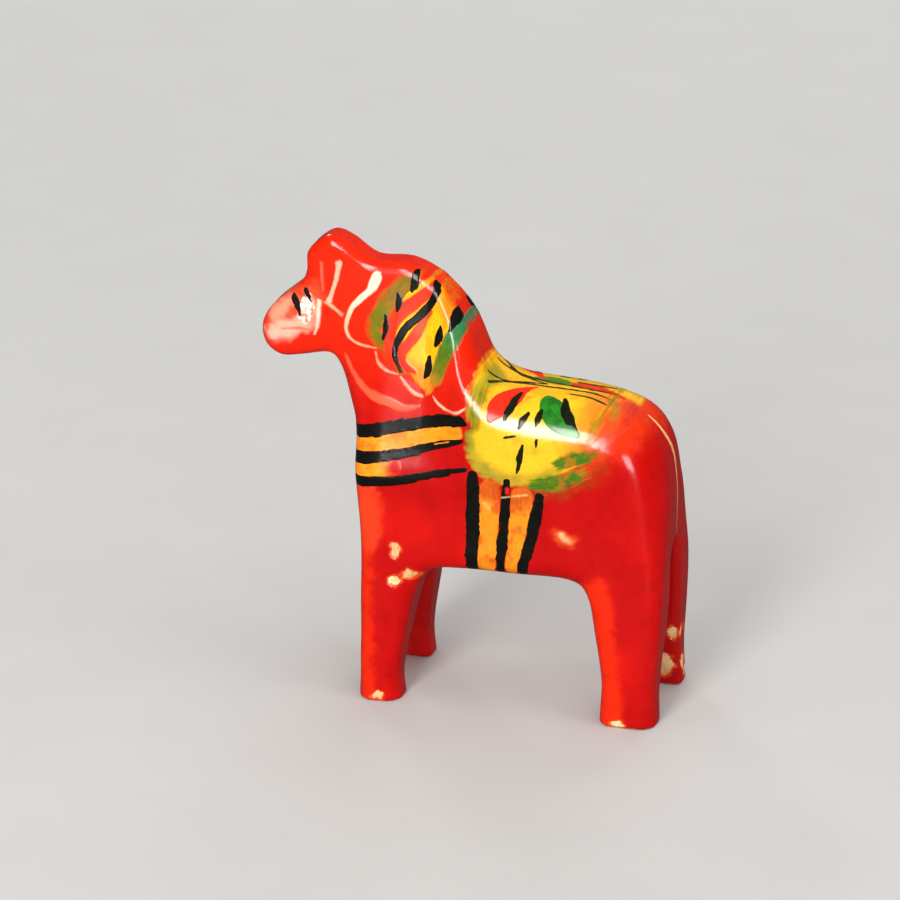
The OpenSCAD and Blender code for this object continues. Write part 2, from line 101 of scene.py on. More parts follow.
# ---- The carved block, as in the CAD model ----
PROFILE = np.array([
    (-22.8, 60), (-22.2, 50), (-21, 38), (-20.5, 22), (-20.3, 7), (-19.6, -4),
    (-11.8, -4), (-12, 6), (-10.6, 16), (-8.6, 25), (-5.4, 30),
    (2, 31), (14, 31), (25, 31),
    (29.3, 28), (31.4, 19), (33, 9), (33.6, -4), (43.8, -4), (44.4, 10), (45.2, 24), (45.4, 40),
    (45, 51), (43, 60), (38, 66), (28, 69), (15, 70), (8, 71.2),
    (3.8, 74.6), (0.4, 83), (-3.6, 89), (-7.6, 92.8), (-13, 95), (-20.6, 95.2),
    (-26, 98.5), (-29.6, 99.8), (-32.4, 98.4), (-34.8, 95.6), (-35, 91.6),
    (-36.6, 88.6), (-42.4, 83.4), (-44.9, 79), (-44.3, 74.6), (-41, 72.2), (-36.5, 72.7), (-30, 74.2),
    (-27, 72), (-24.6, 66),
])
CREST, NECK_DEPTH = 94, 44  # the neck's top edge, and how far below it the neck has its full width
CREST_HALF, NECK_GAIN = 4, 9.6  # half the neck's width at the crest, and what it gains further down
BODY_HALF, HOOF_GAIN = 13.4, 3.2  # half the body's width, and what it gains down to the hooves
CREST_ROUND, NECK_ROUND_GAIN = 2, 1.6  # rounding of the edges at the crest, and its gain further down
LEG_ROUND, BACK_ROUND, FLANK_ROUND = 3.6, 8, 10  # rounding of the legs, and of the back down each way
SLIT_TOP, SLIT_RISE = 27.7, 6.5  # top of the gap between the front legs, and how much it rises behind
SLIT_HALF, SLIT_NARROWS = 9, 5.2  # half that gap's width at the ground, and what it loses higher up


def bend(a, b, c, d, t):
    """Catmull-Rom curve from b to c."""
    squared = 2 * a - 5 * b + 4 * c - d
    cubed = 3 * b - a - 3 * c + d
    return 0.5 * (2 * b + (c - a) * t + squared * t**2 + cubed * t**3)


def closed_curve(knots, steps):
    """A smooth closed line through the knots, with this many steps from one to the next."""
    around = [np.roll(knots, shift, axis=0) for shift in (1, 0, -1, -2)]
    t = np.arange(steps) / steps
    return np.stack([bend(*around, s) for s in t], 1).reshape(-1, 2)


def open_curve(dabs, steps=5):
    """A brush stroke's dabs, [y, z, radius], joined by a smooth curve."""
    d = np.array(dabs, float)
    d = np.concatenate([d[:1], d, d[-1:]])
    t = np.arange(steps) / steps
    inner = np.stack([bend(d[:-3], d[1:-2], d[2:-1], d[3:], s) for s in t], 1).reshape(-1, 3)
    path = np.concatenate([inner, d[-1:]])
    path[:, 2] = np.maximum(path[:, 2], 0.1)
    return path


TABLE_FROM, TABLE_STEP = np.array([-50.0, -8.0]), 0.25


def gap_table():
    """Distance to the profile over a table of [y, z], negative inside."""
    knots = closed_curve(PROFILE, 5)
    y, z = np.meshgrid(np.arange(-50, 51, TABLE_STEP), np.arange(-8, 105, TABLE_STEP), indexing="ij")
    nearest = np.full(y.shape, 1e9)
    inside = np.zeros(y.shape, bool)
    for a, b in zip(knots, np.roll(knots, -1, axis=0)):
        along = b - a
        t = np.clip(((y - a[0]) * along[0] + (z - a[1]) * along[1]) / (along @ along), 0, 1)
        nearest = np.minimum(nearest, (y - a[0] - t * along[0]) ** 2 + (z - a[1] - t * along[1]) ** 2)
        if a[1] != b[1]:
            inside ^= ((a[1] > z) != (b[1] > z)) & (y < a[0] + along[0] * (z - a[1]) / along[1])
    return np.where(inside, -1, 1) * np.sqrt(nearest)


GAPS = gap_table()


def profile_gap(y, z):
    """Distance to the profile, read from the table, negative inside."""
    at = (np.stack([y, z], 1) - TABLE_FROM) / TABLE_STEP
    at = np.clip(at, 0, np.array(GAPS.shape) - 1.001)
    i, j = np.floor(at).astype(int).T
    s, t = (at - np.floor(at)).T
    low = mix(GAPS[i, j], GAPS[i + 1, j], s)
    high = mix(GAPS[i, j + 1], GAPS[i + 1, j + 1], s)
    return mix(low, high, t)


def block(p):
    """The block sawn to its profile, rounded by knife, with the gap between the legs."""
    x, y, z = np.abs(p[:, 0]), p[:, 1], p[:, 2]
    gap = profile_gap(y, z)
    is_back, is_neck, upper = ramp(-8, 9, y), ramp(-40, -16, y), ramp(26, 58, z)
    depth = np.clip((CREST - z) / NECK_DEPTH, 0, 1)
    neck = CREST_HALF + NECK_GAIN * depth**1.15 * is_neck
    body = BODY_HALF + HOOF_GAIN * ramp(50, 0, z)
    half = mix(body, mix(neck, body, is_back), ramp(42, 58, z))
    neck_round = CREST_ROUND + NECK_ROUND_GAIN * depth * is_neck
    ra = mix(LEG_ROUND, mix(neck_round, BACK_ROUND, is_back), upper)
    rb = mix(LEG_ROUND, mix(neck_round, FLANK_ROUND, is_back), upper)
    u, v = (gap + ra) / ra, (x - half + rb) / rb
    reach = np.hypot(np.maximum(u, 0), np.maximum(v, 0))
    f = np.where(reach > 0, reach - 1, np.maximum(u, v) - 1) * np.minimum(ra, rb)
    top = SLIT_TOP + SLIT_RISE * ramp(20, 40, y)
    slit = np.hypot(x, np.maximum(z - top, 0)) - (SLIT_HALF - SLIT_NARROWS * ramp(0, 32, z))
    return blend_max(blend_max(f, -slit, 2.5), -z, 0.8)


def wood(p):
    """The block with the shallow unevenness that a knife and sandpaper leave."""
    return block(p) - 0.11 * noise(p, 9, 1) - 0.035 * noise(p, 4, 2)


def slope(p, reach=0.15):
    """How fast, and which way, the distance to the carved surface grows."""
    total = 0
    for way in ((1, -1, -1), (-1, -1, 1), (-1, 1, -1), (1, 1, 1)):
        total = total + np.outer(wood(p + np.multiply(way, reach)), way)
    return total / (4 * reach)


def settle(p, rounds=2):
    """Moves points onto the carved surface. Returns them with the surface's outward directions."""
    s = slope(p)
    step = s / np.sum(s * s, axis=1)[:, None]
    for _ in range(rounds):
        p = p - step * wood(p)[:, None]
    s = slope(p)
    return p, s / np.linalg.norm(s, axis=1)[:, None]


# ---- Meshes ----
MERGE = 2000  # corners that agree when rounded to 1/2000 mm become one
CORNERS = [(i, j, k) for i in (0, 1) for j in (0, 1) for k in (0, 1)]


def shifted(array, by, size):
    """A block of this size out of a 3-D array, that starts at by."""
    return array[by[0]:by[0] + size[0], by[1]:by[1] + size[1], by[2]:by[2] + size[2]]


def crossings(f, cells):
    """The middle, in each cell, of the places where the block's surface crosses the cell's edges."""
    total, hits = np.zeros((len(cells), 3)), np.zeros(len(cells))
    for corner in CORNERS:
        for axis in range(3):
            if corner[axis] == 0:
                start = cells + corner
                end = start + np.eye(3, dtype=int)[axis]
                a, b = f[tuple(start.T)], f[tuple(end.T)]
                crossed = (a < 0) != (b < 0)
                at = start.astype(float)
                at[:, axis] += np.where(crossed, a / np.where(crossed, a - b, 1), 0)
                total[crossed] += at[crossed]
                hits += crossed
    return total / hits[:, None]


def crossed_edges(inside, number):
    """A four-sided face, of its cells' numbers, round each edge of the lattice that the surface cuts."""
    quads = []
    for axis in range(3):
        u, v = np.eye(3, dtype=int)[[(axis + 1) % 3, (axis + 2) % 3]]
        along = np.eye(3, dtype=int)[axis]
        trim = tuple(slice(0, -1) if a == axis else slice(1, -1) for a in range(3))
        ahead = tuple(slice(1, None) if a == axis else slice(1, -1) for a in range(3))
        edges = np.argwhere(inside[trim] != inside[ahead]) + (1 - along)
        loop = np.stack([number[tuple((edges - s).T)] for s in (u * 0, u, u + v, v)], 1)
        backwards = ~inside[tuple(edges.T)]
        loop[backwards] = loop[backwards][:, ::-1]
        quads.append(loop)
    return np.concatenate(quads)


def carved_surface():
    """Four-sided faces through the cells of the lattice that the block's surface cuts."""
    axes = [np.arange(low, high, STEP) for low, high in ((-19.3, 19.8), (-48.2, 49), (-2.2, 103))]
    grid = np.stack(np.meshgrid(*axes, indexing="ij"), -1)
    f = block(grid.reshape(-1, 3)).reshape(grid.shape[:3])
    inside = f < 0
    count = sum(shifted(inside, c, [n - 1 for n in f.shape]).astype(int) for c in CORNERS)
    cut = (count > 0) & (count < 8)
    number = np.full(cut.shape, -1)
    number[cut] = np.arange(cut.sum())
    points = grid[0, 0, 0] + STEP * crossings(f, np.argwhere(cut))
    return points, crossed_edges(inside, number)


def split(points, quads, n):
    """Splits each face into n by n, with the new corners shared between neighbours."""
    a, b, c, d = (points[quads[:, i]] for i in range(4))
    rows = []
    for u in np.linspace(0, 1, n + 1):
        for v in np.linspace(0, 1, n + 1):
            rows.append(mix(mix(a, b, u), mix(d, c, u), v))
    grid = np.stack(rows, 1).reshape(-1, 3)
    rounded = np.round(grid * MERGE).astype(int)
    _, first, back = np.unique(rounded, axis=0, return_index=True, return_inverse=True)
    back = back.reshape(-1, n + 1, n + 1)
    parts = [back[:, :-1, :-1], back[:, 1:, :-1], back[:, 1:, 1:], back[:, :-1, 1:]]
    return grid[first], np.stack([part.reshape(-1) for part in parts], 1)


def kept(quads, keep, *of_points):
    """Only the faces to keep, and of each array given for the points only the rows that they use."""
    used, back = np.unique(quads[keep], return_inverse=True)
    return back.reshape(-1, 4), *(rows[used] for rows in of_points)


def closed(top, bottom, quads):
    """A film: its upper face, its lower face and the narrow wall round its border."""
    n = len(top)
    edges = np.concatenate([quads[:, [i, (i + 1) % 4]] for i in range(4)])
    there, back = edges[:, 0] * n + edges[:, 1], edges[:, 1] * n + edges[:, 0]
    border = edges[~np.isin(there, back)]
    walls = np.stack([border[:, 1], border[:, 0], border[:, 0] + n, border[:, 1] + n], 1)
    return np.concatenate([top, bottom]), np.concatenate([quads, quads[:, ::-1] + n, walls])


def placed(name, data):
    """A new object in the scene."""
    made = bpy.data.objects.new(name, data)
    bpy.context.scene.collection.objects.link(made)
    return made


def piece(name, points, faces, colours=None, grain=None):
    """A smooth-shaded object in metres, with its paint colour and brush direction at each point."""
    mesh = bpy.data.meshes.new(name)
    mesh.from_pydata((points * MM).tolist(), [], faces)
    mesh.polygons.foreach_set("use_smooth", [True] * len(mesh.polygons))
    if colours is not None:
        paint = mesh.attributes.new("paint", "FLOAT_COLOR", "POINT")
        paint.data.foreach_set("color", np.c_[colours, np.ones(len(colours))].ravel())
    if grain is not None:
        brush_way = mesh.attributes.new("grain", "FLOAT_VECTOR", "POINT")
        brush_way.data.foreach_set("vector", grain.ravel())
    return placed(name, mesh)


# ---- Brush strokes: lists of dabs, [y, z, radius], as in the CAD model ----
# They are drawn in planes: FLANK looks at the left flank, ABOVE down on the back, SHOULDER midway
# between the two (these are angles in degrees), and BEHIND looks at the rump.
FLANK, SHOULDER, ABOVE, BEHIND = 0, 45, 90, -1
SADDLE_FIELD = [
    [[9.6, 59.6, 7.2], [14, 60, 8.7], [19, 62, 9], [25, 65, 7], [31, 68, 5.4], [36, 70, 3.6]],
    [[8, 67, 5.4], [10, 74, 6], [20, 74, 6], [30, 74, 6], [37, 71, 3]],
]
SADDLE_GREEN = [
    [[17.6, 52.4, 1.1], [22.6, 53.2, 1.7], [28.4, 56.2, 1.1]],
    [[23.4, 57.6, 1.2], [27.4, 59.2, 1.6], [31.6, 60.6, 0.9]],
    [[28.6, 63, 0.7], [30, 65.6, 1.2], [31.4, 68, 0.7]],
    [[5.4, 70, 0.9], [5.2, 67, 1.2], [5, 63.5, 0.8]],
]
SADDLE_PETAL = [[
    [8, 37.6, 0.8], [8.6, 39, 1.7], [9.6, 40.6, 2.4], [10.8, 42.2, 2.5], [12, 43.8, 2],
    [13, 45.2, 1.3], [14, 46.2, 0.8], [15, 47, 0.4], [15.6, 47.4, 0.3],
]]
SADDLE_LEAF = [[
    [18.8, 44.6, 0.5], [19.2, 43.6, 1.5], [20, 42.4, 2.3], [21, 41, 2.9], [22.2, 39.8, 3],
    [23.4, 38.8, 2.6], [24.6, 37.8, 1.9], [25.8, 37, 1.2], [27, 36.2, 0.5],
]]
SADDLE_DABS_TILTED = [
    [[11, 38, 0.5], [11.8, 40.4, 0.9], [12.6, 43, 0.8], [13.4, 45, 0.3]],
    [[22.4, 44.6, 0.4], [23, 43, 0.9], [23.8, 40.8, 1.1], [25.2, 38.8, 1], [26.6, 37.4, 0.4]],
    [[15.8, 39.8, 0.4], [15, 38.2, 0.7], [14.4, 36.6, 0.4]],
    [[18.4, 40.8, 0.4], [18.2, 39, 0.85], [18.1, 37.2, 0.4]],
]
SADDLE_DABS_SIDE = [
    [[18.3, 62.6, 0.3], [18.1, 60.2, 0.4]],
    [[15.2, 61, 0.4], [14.6, 58, 0.7], [14, 54.8, 0.3]],
    [[11.2, 62.4, 0.3], [13.6, 62.9, 0.3]],
]
SADDLE_VINES = [
    [
        [5, -4, 0.3], [8.5, -3.4, 0.4], [13.5, -1.9, 0.4],
        [20, -1.2, 0.35], [27, -0.9, 0.35], [32, -1.8, 0.25],
    ],
    [[6, -6.8, 0.3], [9, -3.6, 0.4], [13, -1.2, 0.4], [17, 0, 0.3]],
    [[23, -3.6, 0.3], [27, -3.6, 0.4], [31, -4.8, 0.25]],
]
MANE_FIELD = [
    [
        [-7.6, 91.4, 1.6], [-8.4, 89.4, 3], [-9.6, 86.4, 4.4],
        [-10, 83, 5], [-9.6, 79.6, 5.4], [-9, 76.6, 4.8],
    ],
    [[-9, 76.6, 4.4], [-8, 73, 2.8], [-7.4, 70.2, 1]],
    [[-6.4, 89.6, 2.2], [-4.4, 86, 2.6], [-4.4, 82, 2.6]],
]
MANE_OLIVE = [[
    [-10.4, 92.6, 0.8], [-13, 91, 1.6], [-15.2, 88.6, 1.8], [-17.4, 85.8, 1.8], [-19, 83, 1.5],
    [-19.4, 81, 1.3], [-18, 79, 1.3], [-16, 77.6, 1.2], [-14.4, 75.4, 0.9], [-12.4, 73, 0.6],
]]
MANE_RED = [
    [
        [-6.8, 91.2, 0.5], [-9.6, 88.4, 0.95], [-12.8, 85.6, 1],
        [-15.4, 82.2, 1], [-15.7, 78, 0.8], [-14.4, 74.4, 0.4],
    ],
    [[-7, 86, 0.5], [-10.2, 80.6, 1.2], [-12.6, 77.2, 1.2], [-12.6, 74.8, 1], [-9.8, 73, 0.5]],
]
MANE_GREEN = [[
    [-0.4, 84, 0.4], [-0.8, 83, 0.8], [-1.4, 81.6, 1.1], [-2.4, 79.4, 1.2], [-3.4, 77.2, 1.2],
    [-4.2, 75, 1.2], [-4.8, 73, 1.1], [-5.4, 71.4, 0.9], [-6.4, 69.4, 0.5],
]]
MANE_BLACK = [
    [
        [-6.6, 91.8, 0.4], [-6.2, 89.4, 0.75], [-8.4, 85.8, 0.85], [-12.2, 82.2, 0.85],
        [-14, 78.6, 0.75], [-14.2, 76, 0.6], [-12.8, 73, 0.3],
    ],
    [[-10.7, 93.6, 0.5], [-10.8, 91.8, 0.95], [-11.2, 90, 0.4]],
    [[-14.2, 88.9, 0.4], [-14, 87.2, 0.75], [-14.4, 85.4, 0.3]],
    [[-16.8, 84.2, 0.3], [-16.6, 81.8, 0.65], [-17, 79.4, 0.3]],
    [[-1.9, 86.3, 0.45], [-1.6, 84.7, 0.95], [-2.3, 82.9, 0.4]],
    [[-4.4, 83.4, 0.3], [-4.6, 81.2, 0.85], [-5.4, 79, 0.4]],
    [[-6.8, 76.4, 0.4], [-6.8, 74.2, 0.85], [-7.4, 72, 0.3]],
]
CHEST_OCHRE = [
    [
        [-26, 56, 1.6], [-22, 56.4, 1.6], [-18, 57.2, 1.6], [-12.5, 58.4, 1.9],
        [-7.5, 59.8, 2], [-4, 60.7, 2], [0.6, 61.8, 1.2],
    ],
    [[-26, 51, 1.5], [-21.5, 51.3, 1.5], [-17.3, 52.1, 1.5], [-13, 52.8, 1.2]],
]
CHEST_BANDS = [
    [
        [-26, 58.8, 0.9], [-22, 59.2, 1], [-18, 60, 1.1], [-12.5, 61.5, 1.1],
        [-3.5, 63.7, 1], [0.6, 64.3, 0.9], [2.2, 64.2, 0.5],
    ],
    [
        [-26, 53.4, 0.8], [-22, 53.7, 0.9], [-17.5, 54.7, 0.9],
        [-13, 55.6, 0.8], [-5.5, 57.7, 0.6], [1.8, 59.8, 0.3],
    ],
    [
        [-26, 48.6, 0.7], [-21.5, 48.9, 0.8], [-17, 49.5, 0.8],
        [-11.5, 50.3, 0.7], [-3, 52.7, 0.6], [2.4, 53.8, 0.4],
    ],
]
GIRTH_OCHRE = [
    [[8.1, 50.4, 2], [8.1, 47, 2.1], [8, 42, 2.1], [7.8, 37, 2], [7.6, 33.6, 1.9]],
    [[15.2, 49, 2.3], [14.8, 45, 2.1], [14.3, 41, 1.9], [13.7, 37, 1.5], [13, 33.2, 1.2]],
]
GIRTH_LINES = [
    [[4.4, 52.8, 1], [4.5, 48, 1.3], [4.4, 38, 1.3], [4.3, 32.8, 1.2]],
    [[11.8, 52.4, 0.6], [11.5, 46, 0.9], [11, 38, 1], [10.4, 32.6, 0.9]],
    [[18.9, 49.6, 0.8], [18.2, 44.5, 1.1], [16.6, 37.5, 1.1], [15.2, 32.8, 1]],
]
REIN = [[
    [-19.2, 92.2, 1.2], [-19.8, 90.6, 1.2], [-20.6, 89, 0.85], [-22.4, 87.4, 0.8], [-24.4, 85, 0.65],
    [-25.5, 82.2, 0.55], [-25.6, 80, 0.5], [-24.2, 78.2, 0.45], [-21.8, 77.4, 0.4], [-18.6, 77.2, 0.3],
]]
SCALLOPS = [
    [[-18.6, 76.4, 0.3], [-17.9, 74.4, 0.4], [-16.2, 72.9, 0.4], [-13.4, 72.2, 0.3]],
    [[-12.9, 71.6, 0.3], [-11.5, 70.2, 0.4], [-9.8, 68.8, 0.4], [-7.8, 68.2, 0.3]],
    [[-5.4, 68.6, 0.3], [-3.8, 66.9, 0.4], [0, 65.9, 0.4], [2.4, 67.4, 0.3]],
    [
        [-25.6, 75.2, 0.3], [-23.5, 71.4, 0.65], [-20.7, 68.4, 0.95], [-17.2, 66.8, 1.15],
        [-13.8, 65.8, 1.1], [-11.4, 65.4, 0.7], [-8.4, 66, 0.3],
    ],
]
BRIDLE = [
    [[-31.4, 94, 0.4], [-31, 88.2, 0.4]],
    [[-27.6, 94.4, 0.7], [-27.9, 91.6, 0.6], [-28.9, 88, 0.45], [-29.6, 86, 0.85]],
    [[-30.4, 85.6, 0.5], [-28.6, 84.6, 0.45], [-26.6, 83.2, 0.4]],
    [[-31.8, 85.6, 0.5], [-32.3, 80.2, 0.5], [-32.9, 78.2, 0.4]],
    [[-40.4, 78.4, 0.3], [-36.4, 79, 0.4], [-33.6, 78.8, 0.3]],
]
EYE_WHITE = [[
    [-34, 86.4, 0.7], [-35, 85.2, 0.9], [-35.8, 83.8, 1], [-36, 82.4, 1], [-35.2, 81, 0.9],
    [-34.4, 82, 1], [-34, 83.4, 1], [-33.8, 84.8, 0.8], [-33.4, 86, 0.5],
]]
EYE_BLACK = [
    [[-37.6, 86.2, 0.4], [-37.2, 85.2, 0.9], [-36.9, 83.9, 0.9], [-36.6, 82.8, 0.6], [-36.4, 82, 0.4]],
    [[-34.8, 87.6, 0.5], [-34.6, 87, 0.6], [-34.2, 86.4, 0.5], [-34, 85.8, 0.4], [-33.6, 85.4, 0.3]],
]
TAIL_LINE = [[
    [0.4, 65, 0.3], [0, 62.6, 0.5], [-0.8, 60, 0.6], [-1.4, 57.6, 0.6], [-1.6, 55, 0.5],
    [-1.2, 51, 0.35], [-0.6, 47, 0.3], [-0.2, 43, 0.3], [0, 39, 0.25],
]]

RED = srgb(180, 0, 0)
OCHRE = srgb(225, 125, 12)
TEAL = srgb(50, 120, 80)
BLACK = srgb(16, 15, 10)
BROWN = srgb(90, 45, 8)
CREAM = srgb(246, 214, 188)
PINK = srgb(250, 165, 125)
SCARLET = srgb(228, 30, 5)
BEIGE = srgb(235, 165, 90)

